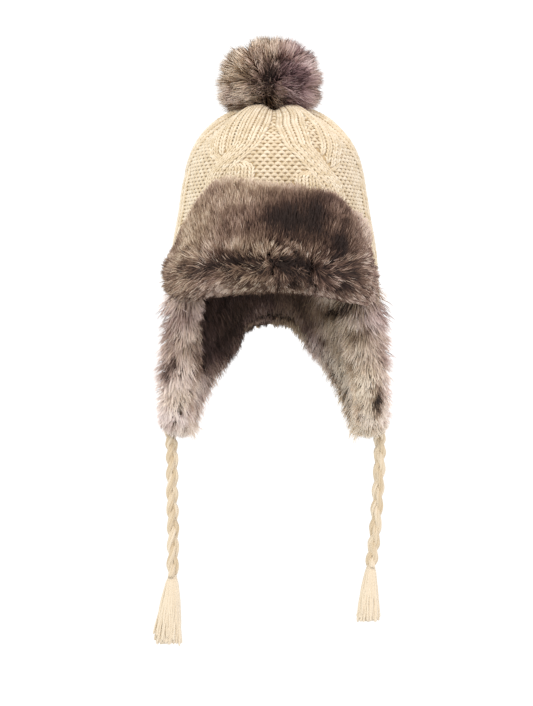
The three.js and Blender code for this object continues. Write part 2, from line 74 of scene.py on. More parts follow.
# A tassel starts as wide as the plait's end and is flatter from front to back. Its yarns
# wave a little, and have these radii at these shares of their length.
TASSEL_TOP = 2.9
TASSEL_FLATNESS = 0.6
TASSEL_WAVE = 1.1
TASSEL_RADII_AT = (0, 0.5, 0.97, 1)
TASSEL_RADII = (0.9, 1.25, 1.15, 0.8)
TIES = {
    "left": {
        "route": [
            (-104.5, 13, -136.3),
            (-102.5, 12.5, -165),
            (-102.5, 12, -205),
            (-101.5, 12, -245),
            (-102, 12, -288),
        ],
        "face_turn": 38,
        "tassel": {"length": 71, "spread": 27, "lean": -5, "yarns": 205},
    },
    "right": {
        "route": [
            (106, 13, -136.3),
            (106.5, 12.5, -165),
            (104.5, 12, -205),
            (101.5, 12, -245),
            (97.5, 12, -278),
        ],
        "face_turn": -38,
        "tassel": {"length": 58, "spread": 22, "lean": -3, "yarns": 175},
    },
}


def linear(hex_colour):
    """An sRGB hex colour as the linear colour that a shader takes."""
    values = [int(hex_colour[i : i + 2], 16) / 255 for i in (1, 3, 5)]
    return [v / 12.92 if v < 0.04045 else ((v + 0.055) / 1.055) ** 2.4 for v in values] + [1]


def set_inputs(tree, node, inputs):
    """Give a node its inputs, as values or as (node, output) links."""
    for key, value in inputs.items():
        if isinstance(value, tuple) and isinstance(value[0], bpy.types.Node):
            tree.links.new(value[0].outputs[value[1]], node.inputs[key])
        else:
            node.inputs[key].default_value = value


def add_node(tree, kind, settings=None, inputs=None):
    """A new node with its settings and its inputs."""
    node = tree.nodes.new("ShaderNode" + kind)
    for key, value in (settings or {}).items():
        setattr(node, key, value)
    set_inputs(tree, node, inputs or {})
    return node


def set_stops(ramp, stops):
    """Give a colour ramp its stops, as (place, hex colour) pairs."""
    elements = ramp.color_ramp.elements
    while len(elements) < len(stops):
        elements.new(1)
    for element, (place, colour) in zip(elements, stops):
        element.position = place
        element.color = linear(colour)


def new_material(name):
    """A new material, its node tree and its shader."""
    material = bpy.data.materials.new(name)
    material.use_nodes = True
    tree = material.node_tree
    return material, tree, tree.nodes["Principled BSDF"]


# The yarn's shades drift over about 24 mm and its fuzz has clumps of about 1.1 mm. Each
# value is how many there are in a metre.
YARN_SHADES = 42
YARN_FUZZ = 900


def yarn_material(name, dark, middle, light, ply_pitch):
    """Two-ply acrylic yarn, spun from crimped staple: matt, a little fuzzy at the edges,
    with shallow twist lines and shades that drift a little from yarn to yarn."""
    material, tree, shader = new_material(name)
    place = add_node(tree, "TexCoord")
    drift = add_node(
        tree, "TexNoise", None,
        {"Vector": (place, "Object"), "Scale": YARN_SHADES, "Detail": 3},
    )
    tone = add_node(tree, "Attribute", {"attribute_name": "tone"})
    mixed = add_node(
        tree, "Math", {"operation": "MULTIPLY_ADD"},
        {0: (drift, "Fac"), 1: 0.15, 2: (tone, "Fac")},
    )
    ramp = add_node(tree, "ValToRGB", None, {"Fac": (mixed, "Value")})
    set_stops(ramp, [(0, dark), (0.25, middle), (0.5, light)])
    # The ply: two strands round each other, drawn from the way along and round the yarn.
    own = add_node(tree, "UVMap", {"uv_map": "yarn"})
    parts = add_node(tree, "SeparateXYZ", None, {"Vector": (own, "UV")})
    lengths = add_node(
        tree, "Math", {"operation": "MULTIPLY"}, {0: (parts, "X"), 1: 1 / ply_pitch}
    )
    turns = add_node(
        tree, "Math", {"operation": "ADD"}, {0: (lengths, "Value"), 1: (parts, "Y")}
    )
    angle = add_node(
        tree, "Math", {"operation": "MULTIPLY"}, {0: (turns, "Value"), 1: 4 * math.pi}
    )
    ply = add_node(tree, "Math", {"operation": "SINE"}, {0: (angle, "Value")})
    fuzz = add_node(
        tree, "TexNoise", None, {"Vector": (place, "Object"), "Scale": YARN_FUZZ, "Detail": 2}
    )
    relief = add_node(
        tree, "Math", {"operation": "MULTIPLY_ADD"},
        {0: (ply, "Value"), 1: 0.35, 2: (fuzz, "Fac")},
    )
    bump = add_node(
        tree, "Bump", None,
        {"Height": (relief, "Value"), "Distance": 0.0004, "Strength": 0.4},
    )
    set_inputs(tree, shader, {
        "Base Color": (ramp, "Color"), "Normal": (bump, "Normal"), "Roughness": 0.88,
        "Specular IOR Level": 0.25, "Sheen Weight": 0.35, "Sheen Roughness": 0.6,
    })
    return material


def unit(vectors):
    """Vectors of length 1."""
    return vectors / np.maximum(np.linalg.norm(vectors, axis=-1, keepdims=True), 1e-9)


def curve_through(points, shares):
    """Points at shares, 0 to 1, of a smooth centripetal curve through points."""
    points = np.asarray(points, float)
    rows = np.vstack([2 * points[0] - points[1], points, 2 * points[-1] - points[-2]])
    at = np.clip(shares, 0, 1) * (len(points) - 1)
    first = np.minimum(at.astype(int), len(points) - 2)
    t = (at - first)[..., None]
    a, b, c, d = (rows[first + i] for i in range(4))
    ab, bc, cd = (
        np.sqrt(np.linalg.norm(q - p, axis=-1, keepdims=True)) for p, q in ((a, b), (b, c), (c, d))
    )
    leave = ((b - a) / ab - (c - a) / (ab + bc) + (c - b) / bc) * bc
    arrive = ((c - b) / bc - (d - b) / (bc + cd) + (d - c) / cd) * bc
    return (
        b + leave * t + (3 * (c - b) - 2 * leave - arrive) * t**2
        + (2 * (b - c) + leave + arrive) * t**3
    )


def run_along(points):
    """The way along a line of points to each one, or along each of many lines."""
    lengths = np.cumsum(np.linalg.norm(np.diff(points, axis=-2), axis=-1), axis=-1)
    return np.concatenate([np.zeros_like(lengths[..., :1]), lengths], axis=-1)


def new_mesh(name, points, faces):
    """A mesh through points in millimetres."""
    mesh = bpy.data.meshes.new(name)
    mesh.from_pydata((points.reshape(-1, 3) * MM).tolist(), [], faces)
    return mesh


def set_values(mesh, name, values):
    """Give each point of a mesh its own value, which the materials read by its name."""
    values = np.asarray(values, np.float32).ravel()
    mesh.attributes.new(name, "FLOAT", "POINT").data.foreach_set("value", values)


def add_piece(name, mesh, material, node):
    """A smooth piece with its material, which rides on the cap and hides the CAD node that it
    stands for."""
    mesh.shade_smooth()
    mesh.materials.append(material)
    piece = bpy.data.objects.new(name, mesh)
    bpy.context.scene.collection.objects.link(piece)
    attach(piece, "root")
    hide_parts(node)
    return piece


def yarns(name, paths, radii, outward, tones, sides, material, node):
    """Round yarns in one joined mesh. paths is (yarn, point, xyz), with a radius at each
    point and the way that faces out of the work. Each yarn is closed at both ends."""
    count, steps = paths.shape[:2]
    along = unit(np.gradient(paths, axis=1))
    level = unit(np.cross(outward, along))
    out = np.cross(along, level)
    turn = np.linspace(0, 2 * math.pi, sides, endpoint=False)[:, None]
    ring = np.cos(turn) * level[:, :, None] + np.sin(turn) * out[:, :, None]
    points = paths[:, :, None] + radii[:, :, None, None] * ring

    first = (np.arange(count) * steps * sides)[:, None, None]
    row = (np.arange(steps - 1) * sides)[None, :, None]
    side = np.arange(sides)[None, None]
    after = (side + 1) % sides
    corners = [row + side, row + after, row + sides + after, row + sides + side]
    walls = np.stack([first + c for c in corners], -1).reshape(-1, 4)
    start = first[:, :, 0] + np.arange(sides)[::-1]
    end = first[:, :, 0] + (steps - 1) * sides + np.arange(sides)

    lengths = run_along(paths)
    low, high = lengths[:, :-1, None], lengths[:, 1:, None]
    left, right = side / sides, (side + 1) / sides
    wall_uv = [
        np.stack(np.broadcast_arrays(u, v), -1)
        for u, v in ((low, left), (low, right), (high, right), (high, left))
    ]
    end_uv = np.zeros((2 * count * sides, 2))
    uv = np.concatenate([np.stack(wall_uv, -2).reshape(-1, 2), end_uv])

    mesh = new_mesh(name, points, walls.tolist() + start.tolist() + end.tolist())
    mesh.uv_layers.new(name="yarn").data.foreach_set("uv", uv.ravel())
    set_values(mesh, "tone", np.repeat(tones, steps * sides))
    return add_piece(name, mesh, material, node)


tie_yarn = yarn_material("plaited_acrylic_yarn", "#bba684", "#cdbda2", "#dbceb8", 5)
scatter = np.random.default_rng(11)
for side, tie in TIES.items():
    route = np.array(tie["route"], float)
    length = np.linalg.norm(np.diff(route, axis=0), axis=1).sum()
    steps = int(length / TIE_STEP) + 1
    centre = curve_through(route, np.linspace(0, 1, steps))
    along = unit(np.gradient(centre, axis=0))
    turn = math.radians(tie["face_turn"])
    across = unit(np.cross(np.cross(along, (math.cos(turn), math.sin(turn), 0)), along))
    deep = np.cross(along, across)
    way = np.linspace(0, length, steps)
    paths = []
    for strand in range(PLAIT_STRANDS):
        phase = 2 * math.pi * (way / PLAIT_PERIOD + strand / PLAIT_STRANDS)
        bundle = (
            centre
            + (PLAIT_SWAY * np.sin(phase))[:, None] * across
            + (PLAIT_DEPTH * np.sin(2 * phase))[:, None] * deep
        )
        for yarn in range(BUNDLE_YARNS):
            round_it = 2 * math.pi * (yarn / BUNDLE_YARNS + way / BUNDLE_TWIST)
            paths.append(
                bundle
                + (BUNDLE_RADIUS * np.cos(round_it))[:, None] * across
                + (BUNDLE_RADIUS * np.sin(round_it))[:, None] * deep
            )
    paths = np.array(paths)
    radii = np.full(paths.shape[:2], TIE_YARN_RADIUS)
    radii[:, -2:] *= (0.9, 0.75)
    plait = yarns(
        f"plait_{side}", paths, radii, np.broadcast_to(across, paths.shape),
        scatter.uniform(0.05, 0.4, len(paths)), 6, tie_yarn, f"tie_{side}",
    )

    # The tassel: the plait's own yarns, cut long and left loose below the last crossing.
    # They are spread by the golden angle, most of them near its edge, and end unevenly.
    spec = tie["tassel"]
    count = spec["yarns"]
    reach = ((np.arange(count) + 0.5) / count) ** 0.35
    turns = np.arange(count) * math.pi * (3 - math.sqrt(5))
    share = np.array([0, 0.14, 0.28, 0.42, 0.56, 0.7, 0.84, 0.97, 1])
    fall = spec["length"] * (0.98 - 0.15 * scatter.random(count) ** 1.5)
    fall[-1] = spec["length"]
    widen = TASSEL_TOP + (spec["spread"] / 2 - TASSEL_TOP) * share**0.65
    wave = TASSEL_WAVE * np.sin(share * 6 + scatter.uniform(0, 6.3, count)[:, None]) * share
    x = (np.cos(turns) * reach)[:, None] * widen + wave + spec["lean"] * share
    y = (np.sin(turns) * reach)[:, None] * (TASSEL_FLATNESS * widen) + wave[::-1]
    z = -fall[:, None] * share + 2
    loose = centre[-1] + np.stack([x, y, z], -1)
    radii = np.interp(share, TASSEL_RADII_AT, TASSEL_RADII) * np.ones((count, 1))
    tassel = yarns(
        f"tassel_yarns_{side}", loose, radii, np.broadcast_to((0.0, -1.0, 0.0), loose.shape),
        scatter.uniform(0.35, 0.65, count), 5, tie_yarn, f"tassel_{side}",
    )

# Knitted crown. It is thick cream acrylic, knitted in the round in six broad cables with
# reverse stocking stitch panels between them, and drawn together by a thread at the top.
# A dense ground stands for the yarn behind the stitches, and each stitch lies over it.
# The ground is coloured darker than the yarn: painted shade in the gaps between the stitches.
KNIT_WALL = 4.5
CABLE_RISE = 4
REPEATS = 6
REPEAT_ANGLE = 360 / REPEATS
# The ropes cross at these heights and again a pitch below, mirrored between the halves.
# The rope in front leans over slowly, through its reach above and below the crossing, and
# the rope behind it changes sides at once and dips by a share of its rise.
CROSSING_HEIGHTS = {1: 121, -1: 111}
CROSSING_PITCH = 84
CROSSING_DIP = 0.6
FRONT_ROPE_REACH = {1: 18, -1: 24}
BACK_ROPE_REACH = 8
# Above its crossing the right half's ropes stand this many degrees further apart.
ROPE_GAP = 3.2
# Half of a rope's round form, and of what it hides of the one behind, in rope widths.
ROPE_HALF_WIDTH = 0.54
ROPE_HIDES = 0.47
GATHER_START = 135
GATHER_END = 170
GATHER_DEPTH = 6
STITCH_ROW = 3.8
STITCH_WIDE = 7.2
# The shares of that width between which the stitches' thickness follows their room.
STITCH_SQUEEZE = (0.55, 1.05)
# How far the stitches' middles lie inside the ropes' form.
STITCH_SINK = 1.0
ROPE_WALES = 4
PURL_ANGLE = 24.5
# The gather squeezes the purl panels to this share of their angle.
PURL_SQUEEZE = 0.2
# Stitches nearer the middle of the gather than this are under the pompom, and those up
# to this angle and this far below the front flap's top edge are under its pile.
HIDDEN_BY_POMPOM = 31
HIDDEN_ANGLE = 57
HIDDEN_BY_FLAP = 16
# Half the width, half the depth and the height of the head's form, from the flaps' tips
# up the crown and into the dimple of the gather.
FORM = [
    (103, 106, -150), (106, 108, -110), (106, 110, -75), (103, 112, -35),
    (101, 114, 0), (98, 111, 40), (92, 104, 75), (87, 97, 108),
    (81, 90, 132), (72, 79, 150), (60, 64, 164), (46, 48, 174),
    (31, 32, 180), (17, 17, 180), (7, 7, 175), (1.5, 1.5, 172),
]
PLACES = np.linspace(0, 1, 3001)
form_line = curve_through(FORM, PLACES)
form_slope = np.gradient(form_line, PLACES, axis=0)
RISING = PLACES <= 0.8
# The front flap hides the knit below its top edge: its angle, height and pile's depth.
FRONT_FLAP = np.array([
    (-66, 16, 14), (-60, 44, 14), (-53, 67, 13), (-45, 84, 12), (-37, 96, 11), (-28, 100, 10),
    (-19, 98, 10), (-10, 95, 10), (0, 93, 10), (10, 92, 10), (19, 90, 10), (28, 88, 10),
    (37, 83, 10), (46, 74, 10), (54, 57, 10), (60, 38, 9), (66, 14, 9),
])


def smooth(values, low, high):
    """0 below low, 1 above high, and an even rise between them."""
    share = np.clip((values - low) / (high - low), 0, 1)
    return share * share * (3 - 2 * share)


def look_up(table, angle, column=1):
    """A column of a table at an angle, which is the table's first column."""
    return np.interp(angle, table[:, 0], table[:, column])


def place_at(height):
    """The place on the form's line at a height, below the gather's brow."""
    return np.interp(height, form_line[RISING, 2], PLACES[RISING])


def form_height(place):
    """The height of a place on the form's line."""
    return np.interp(place, PLACES, form_line[:, 2])


def form_radius(place):
    """The form's radius at a place on its line, between its half width and half depth."""
    return np.interp(place, PLACES, form_line[:, :2].mean(axis=1))


def form_point(place, angle, out):
    """A point at a place on the form's line, an angle and a height out of the ground."""
    across, along, z = (np.interp(place, PLACES, form_line[:, i]) for i in range(3))
    run, rise = (np.interp(place, PLACES, form_slope[:, i]) for i in (0, 2))
    steep = np.hypot(run, rise)
    turn = np.radians(angle)
    level, upward = out * rise / steep, -out * run / steep
    return np.stack(
        [(across + level) * np.sin(turn), -(along + level) * np.cos(turn), z + upward], -1
    )


def wall_point(angle, z, out):
    """A point beside the head, where the wall is nearly upright: out is level."""
    place = place_at(z)
    across, along = (np.interp(place, PLACES, form_line[:, i]) for i in (0, 1))
    turn = np.radians(angle)
    x, y, z = np.broadcast_arrays((across + out) * np.sin(turn), -(along + out) * np.cos(turn), z)
    return np.stack([x, y, z], -1)


# The way up the wall from the rim, in millimetres of knitting.
above_rim = PLACES[PLACES >= place_at(0)]
profile = np.stack([form_radius(above_rim), form_height(above_rim)], -1)
knitted = run_along(profile)


def place_up(way_up):
    """The place on the form's line at a way up the knitting from the rim."""
    return np.interp(way_up, knitted, above_rim)


def height_of(way_up):
    """The height at a way up the knitting from the rim."""
    return form_height(place_up(way_up))


def climb_at(angle):
    """Which way the front ropes climb: -1 in the right half and 1 in the left one."""
    return np.where(np.mod(angle, 360) < 180, -1, 1)


def purl_share(z):
    """The share of its angle that a purl panel keeps where the gather draws it in."""
    return 1 - (1 - PURL_SQUEEZE) * smooth(z, 115, 172)


def rope_angle(z):
    """The angle that one rope of a cable takes at a height."""
    return (REPEAT_ANGLE - PURL_ANGLE * purl_share(z)) / 2


def swing_at(z, climb, row_height, in_front=True):
    """Where a cable's front rope, or its back one, lies: from -1 to 1 across the cable.
    The crossing is the one nearest to the stitch's row."""
    left = np.asarray(climb) > 0
    height = np.where(left, CROSSING_HEIGHTS[1], CROSSING_HEIGHTS[-1])
    height = height + CROSSING_PITCH * np.round((row_height - height) / CROSSING_PITCH)
    front_reach = np.where(left, FRONT_ROPE_REACH[1], FRONT_ROPE_REACH[-1])
    reach = np.where(in_front, front_reach, BACK_ROPE_REACH)
    share = np.clip((z - height) / reach, -1, 1)
    return climb * np.where(in_front, 1, -1) * share * (1.5 - 0.5 * share**2)


def rope_reach(z, climb):
    """The angle from a cable's middle to the middle of a rope, away from a crossing."""
    gap = smooth(z, 122, 138) * (1 - smooth(z, 156, 170)) * (np.asarray(climb) < 0)
    return rope_angle(z) / 2 + ROPE_GAP * gap


def cable_edge(z, climb, side):
    """The angle from a cable's middle to its edge, on its side of lower angles, -1, or of
    higher ones, 1."""
    ropes = [side * swing_at(z, climb, z, in_front) for in_front in (True, False)]
    return rope_angle(z) / 2 + rope_reach(z, climb) * max(ropes)


def relief_share(place):
    """The relief fades out in the middle of the gather."""
    return smooth(np.interp(place, PLACES, form_line[:, 0]), 4, 24)


def gather_dip(angle, z, place):
    """How far a purl panel sinks between the cables where the top is drawn together."""
    between = (1 + np.cos(np.radians(np.mod(angle, REPEAT_ANGLE) * REPEATS))) / 2
    gathered = smooth(z, GATHER_START, GATHER_END) * (place > place_at(GATHER_START))
    return GATHER_DEPTH * between * gathered * relief_share(place)


def rope_crest(offset, half):
    """How far a rope stands out across its width: 1 on its crest and 0 at its sides."""
    return np.sqrt(np.clip(1 - (offset / half) ** 2, 0, 1))


def crown_point(angle, way_up, out):
    """A point on the crown by its angle and its way up the knitting from the rim."""
    place = place_up(way_up)
    return form_point(place, angle, out - gather_dip(angle, form_height(place), place))


def mesh_from(form, name):
    """A finished bmesh as a mesh."""
    mesh = bpy.data.meshes.new(name)
    form.to_mesh(mesh)
    form.free()
    return mesh


def shell(name, rows, material, node):
    """A closed body through rows of points, each row a closed ring: a grid that is bent
    round and closed at both ends. rows is (row, point, xyz)."""
    rings, count = rows.shape[:2]
    rows = np.concatenate([rows, rows[:, :1]], axis=1)
    form = bmesh.new()
    bmesh.ops.create_grid(form, x_segments=count, y_segments=rings - 1, size=1)
    for vertex in form.verts:
        column = round((vertex.co.x + 1) / 2 * count)
        row = round((vertex.co.y + 1) / 2 * (rings - 1))
        vertex.co = rows[row, column] * MM
    bmesh.ops.remove_doubles(form, verts=form.verts, dist=1e-6)
    bmesh.ops.holes_fill(form, edges=form.edges, sides=0)
    bmesh.ops.recalc_face_normals(form, faces=form.faces)
    add_piece(name, mesh_from(form, name), material, node)


def ground_material(name, dark, light, stitch):
    """The back of thick knitting, seen between the stitches and inside the cap: matt
    acrylic with the small even bumps of its rows. Its colour, darker than the yarn in front and
    darkest between the bumps, is painted shade of the gaps between the stitches."""
    material, tree, shader = new_material(name)
    place = add_node(tree, "TexCoord")
    bumps = add_node(
        tree, "TexVoronoi", None, {"Vector": (place, "Object"), "Scale": 1000 / stitch}
    )
    ramp = add_node(tree, "ValToRGB", None, {"Fac": (bumps, "Distance")})
    set_stops(ramp, [(0.1, light), (0.75, dark)])
    bump = add_node(
        tree, "Bump", {"invert": True},
        {"Height": (bumps, "Distance"), "Distance": 0.001, "Strength": 0.7},
    )
    set_inputs(tree, shader, {
        "Base Color": (ramp, "Color"), "Normal": (bump, "Normal"),
        "Roughness": 0.95, "Specular IOR Level": 0.15,
    })
    return material


def ground_rise(angle, z):
    """The knit's rise over its purl ground, as the crossing ropes give it."""
    offset = np.mod(angle, REPEAT_ANGLE) - REPEAT_ANGLE / 2
    climb = climb_at(angle)
    swing = swing_at(z, climb, z)
    reach = rope_reach(z, climb)
    half = ROPE_HALF_WIDTH * rope_angle(z)
    dip = CROSSING_DIP * (1 - np.abs(swing))
    front = rope_crest(offset - swing * reach, half)
    back = (1 - dip) * rope_crest(offset - swing_at(z, climb, z, False) * reach, half)
    return CABLE_RISE * np.maximum(front, back)


# How far the ground lies behind the stitches' middles in the panels and in the ropes.
PURL_DEPTH = 0.9
ROPE_DEPTH = 1.8
# The ground's points are this many degrees apart, in rings up its outside and inside.
GROUND_STEP = 2.5
OUTSIDE_RINGS = 58
INSIDE_RINGS = 22
knit_yarn = yarn_material("thick_acrylic_yarn", "#c9b796", "#dacbb1", "#e5dac5", 7)
# The ground's dark and light colours are painted shade for the gaps between the stitches.
knit_back_painted_shade = ground_material("knitting_behind_the_stitches_painted_shade", "#ab9573", "#cdb998", 4.5)
ground_angles = np.arange(0, 360, GROUND_STEP)
rings = []
for place in np.linspace(1, place_at(0), OUTSIDE_RINGS):
    z = form_height(place)
    rise = relief_share(place) * ground_rise(ground_angles, z)
    rise -= np.interp(rise, (0, 2), (PURL_DEPTH, ROPE_DEPTH))
    rings.append(form_point(place, ground_angles, rise - gather_dip(ground_angles, z, place)))
for place in np.linspace(place_at(0), 1, INSIDE_RINGS):
    sunk = -KNIT_WALL - gather_dip(ground_angles, form_height(place), place)
    rings.append(form_point(place, ground_angles, sunk))
shell("crown_ground", np.array(rings), knit_back_painted_shade, "knit_crown")

# A knit stitch shows as two legs that rise and part like a V, the next one growing out of
# it. Each row here is a leg's way across in wales, up in rows, out and its radius in mm.
KNIT_LEG = np.array([
    (0.06, -0.35, -1.8, 0.9), (0.15, 0.25, -0.2, 1.3), (0.29, 0.90, 0.0, 1.3),
    (0.44, 1.50, -1.8, 0.9),
])
leg_across, leg_up, leg_out, leg_radius = KNIT_LEG.T


def leg_tones(paths):
    """A shade for each stitch, which its two legs share."""
    return np.repeat(scatter.uniform(0, 0.35, len(paths) // 2), 2)


def under_front_flap(angle, way_up):
    """True where the front flap's pile covers the knit."""
    turned = np.mod(angle + 180, 360) - 180
    top = look_up(FRONT_FLAP, turned)
    return (np.abs(turned) < HIDDEN_ANGLE) & (height_of(way_up) < top - HIDDEN_BY_FLAP)


top_row = int(knitted[np.argmax(profile[:, 0] < HIDDEN_BY_POMPOM)] / STITCH_ROW)
rows_up = np.arange(top_row) * STITCH_ROW
row_height = height_of(rows_up)
cable_middles = (np.arange(REPEATS) + 0.5) * REPEAT_ANGLE
for half, climb in (("right", -1), ("left", 1)):
    # Axes: cable, rope, wale, row and then the points of a leg.
    middle = cable_middles[climb_at(cable_middles) == climb][:, None, None, None, None]
    in_front = np.array([True, False])[:, None, None, None]
    wale = (np.arange(ROPE_WALES) - (ROPE_WALES - 1) / 2)[:, None, None]
    way = rows_up[:, None] + leg_up * STITCH_ROW
    z = height_of(way)
    wale_angle = rope_angle(z) / ROPE_WALES
    swing = swing_at(z, climb, row_height[:, None], in_front)
    wale_middle = middle + swing * rope_reach(z, climb) + wale * wale_angle
    dip = CROSSING_DIP * (1 - np.abs(swing_at(z, climb, row_height[:, None]))) * ~in_front
    crest = rope_crest(wale * wale_angle, ROPE_HALF_WIDTH * rope_angle(z))
    rise = relief_share(place_up(way)) * CABLE_RISE * (1 - dip) * crest - STITCH_SINK
    legs = []
    for mirrored in (-1, 1):
        angle = wale_middle + mirrored * leg_across * wale_angle
        values = np.broadcast_arrays(angle, way, leg_out + rise, wale_angle)
        legs.append(np.stack(values, -1))
    stitches = np.stack(legs, -3)

    # Left out: the stitches that the rope in front or the front flap's pile covers.
    angle = stitches[..., 0, :, 0].mean(-1)
    swing = swing_at(row_height, climb, row_height)
    from_front = angle - middle[..., 0] - swing * rope_reach(row_height, climb)
    covered = ~in_front[..., 0] & (np.abs(from_front) < ROPE_HIDES * rope_angle(row_height))
    shown = ~(covered | under_front_flap(angle, rows_up))
    stitches = stitches[shown].reshape(-1, len(KNIT_LEG), 4)
    angle, way, out, wale = np.moveaxis(stitches, -1, 0)
    paths = crown_point(angle, way, out)
    outward = crown_point(angle, way, out + 1) - paths
    wide = wale * np.linalg.norm(crown_point(angle + 1, way, out) - paths, axis=-1)
    radii = leg_radius * np.clip(wide / STITCH_WIDE, *STITCH_SQUEEZE)
    yarns(
        f"cable_stitches_{half}", paths, radii, outward, leg_tones(paths), 5, knit_yarn,
        "knit_crown",
    )

# The panels between the cables show the backs of the loops: short level bumps, staggered
# from row to row. Each row here is a point of a bump, as in KNIT_LEG, across in bumps.
PURL_BUMP = np.array([
    (-0.57, -0.30, -1.4, 1.3), (-0.28, 0.08, -0.4, 1.7), (0, 0.26, 0.1, 1.85),
    (0.28, 0.08, -0.4, 1.7), (0.57, -0.30, -1.4, 1.3),
])
# The bumps go on for this many degrees under the ropes beside a panel, and under those
# beside a gap, which has bumps once it is this wide.
UNDER_ROPE = 0.8
UNDER_GAP_ROPE = 0.5
LEAST_GAP = 0.6
bumps = []
for row, way_up in enumerate(rows_up):
    z = height_of(way_up)
    bump_angle = math.degrees(STITCH_WIDE / form_radius(place_up(way_up)))
    for repeat in range(REPEATS):
        middle = repeat * REPEAT_ANGLE
        for bump in np.arange(-5, 6) + (row % 2) / 2:
            # The ropes on both sides of the panel cover the bumps beyond their edges.
            towards = np.sign(bump)
            edge = cable_edge(z, climb_at(middle + towards), -towards)
            if abs(bump) * bump_angle < REPEAT_ANGLE / 2 - edge + UNDER_ROPE:
                bumps.append((middle + bump * bump_angle, way_up, bump_angle))
        # Where a cable's ropes stand apart, the purl ground shows between them.
        middle += REPEAT_ANGLE / 2
        gap = rope_reach(z, climb_at(middle)) - rope_angle(z) / 2
        for bump in np.arange(-1, 2) + (row % 2) / 2:
            if gap > LEAST_GAP and abs(bump) * bump_angle < gap + UNDER_GAP_ROPE:
                bumps.append((middle + bump * bump_angle, way_up, bump_angle))
bumps = np.array(bumps)
bumps = bumps[~under_front_flap(bumps[:, 0], bumps[:, 1])]
across, up, out, bump_radius = PURL_BUMP.T
angle = bumps[:, :1] + across * bumps[:, 2:]
way = bumps[:, 1:2] + up * STITCH_ROW
out = np.broadcast_to(out, angle.shape)
paths = crown_point(angle, way, out)
yarns(
    "purl_panels", paths, np.broadcast_to(bump_radius, angle.shape),
    crown_point(angle, way, out + 1) - paths, scatter.uniform(0, 0.3, len(paths)), 5,
    knit_yarn, "knit_crown",
)

# Knitted ear flaps. Each one hangs from the rim, from the temple to the middle of the
# nape, in plain knitting of the same yarn. Its edge carries the fur that is sewn inside.
FLAP_EDGE = np.array([
    (62, -5), (66, -38), (71, -76), (78, -110), (87, -130), (97, -136), (107, -131),
    (118, -110), (130, -84), (142, -62), (155, -44), (168, -34), (180, -31),
])
FLAP_START = 62
NAPE = 180
FLAP_FACE = 2
# How far the ground and the stitches' middles lie inside that face.
FLAP_GROUND_SINK = 1.6
FLAP_STITCH_SINK = 1.5
FLAP_WALE_ANGLE = 4.1
FLAP_ROWS = 34
# The small gap between pieces that are sewn together.
SEAM_GAP = 0.3
SIDES = {"left": -1, "right": 1}


def flap_edge(angle):
    """The height of the knit's edge at an angle."""
    return look_up(FLAP_EDGE, angle)


flap_angles = np.unique(
    np.concatenate([np.linspace(FLAP_START, NAPE - 0.1, 60), FLAP_EDGE[:-1, 0]])
)
for side, sign in SIDES.items():
    rings = []
    for angle in flap_angles:
        down = np.linspace(-SEAM_GAP, flap_edge(angle), 12)
        outer = wall_point(sign * angle, down, FLAP_FACE - FLAP_GROUND_SINK)
        inner = wall_point(sign * angle, down[::-1], -KNIT_WALL)
        rings.append(np.concatenate([outer, inner]))
    shell(f"ear_flap_ground_{side}", np.array(rings), knit_back_painted_shade, f"ear_flap_{side}")

    wales = np.arange(FLAP_START + FLAP_WALE_ANGLE / 2, NAPE, FLAP_WALE_ANGLE)
    falls = -(np.arange(FLAP_ROWS) + 1.2) * STITCH_ROW
    angle, fall = np.meshgrid(wales, falls, indexing="ij")
    inside = fall > flap_edge(angle) - 2
    angle, fall = angle[inside][:, None, None], fall[inside][:, None, None]
    mirrored = np.array([-1, 1])[None, :, None]
    angle = sign * (angle + mirrored * leg_across * FLAP_WALE_ANGLE)
    z = np.minimum(fall + leg_up * STITCH_ROW, -0.8)
    angle, z, out = (
        np.broadcast_to(value, angle.shape).reshape(-1, len(KNIT_LEG))
        for value in (angle, z, leg_out)
    )
    paths = wall_point(angle, z, out + FLAP_FACE - FLAP_STITCH_SINK)
    outward = wall_point(angle, z, out + 10) - paths
    radii = np.broadcast_to(leg_radius, paths.shape[:2])
    yarns(
        f"ear_flap_stitches_{side}", paths, radii, outward, leg_tones(paths), 5, knit_yarn,
        f"ear_flap_{side}",
    )

# Fur on the ear flaps. It is deep faux fur on a woven back, sewn inside each flap and
# turned out round its edge, greyish beige in front and darker brown towards the nape,
# where painted shade darkens it further, as the nape lies in shadow inside the cap.
FUR_TOP = 38
# The fur stands out past the knit's edge on both sides by this many degrees.
FUR_SPREAD_ANGLE = 3.5
FLAP_FUR_DEPTH = np.array([(62, 16), (80, 16), (97, 13), (118, 14), (145, 13), (180, 10)])
# The pile along the knit's edge, from the temple round to the nape: its length, how far
# above the edge it is rooted, and how far its woven back hangs past the edge.
HEM_PILE = np.array([
    (62, 27, 0, 8), (64, 26, 0, 8), (67.5, 22, 0, 8), (75, 17, 0, 8), (82, 14, 0, 8),
    (97, 12, 0, 8), (116, 13, 0, 8), (136, 16, 0, 7), (150, 18, 0, 6), (156, 15, 3, 3),
    (161, 11, 6, -2), (168, 9.5, 8, -6), (180, 9.5, 8.5, -6),
])
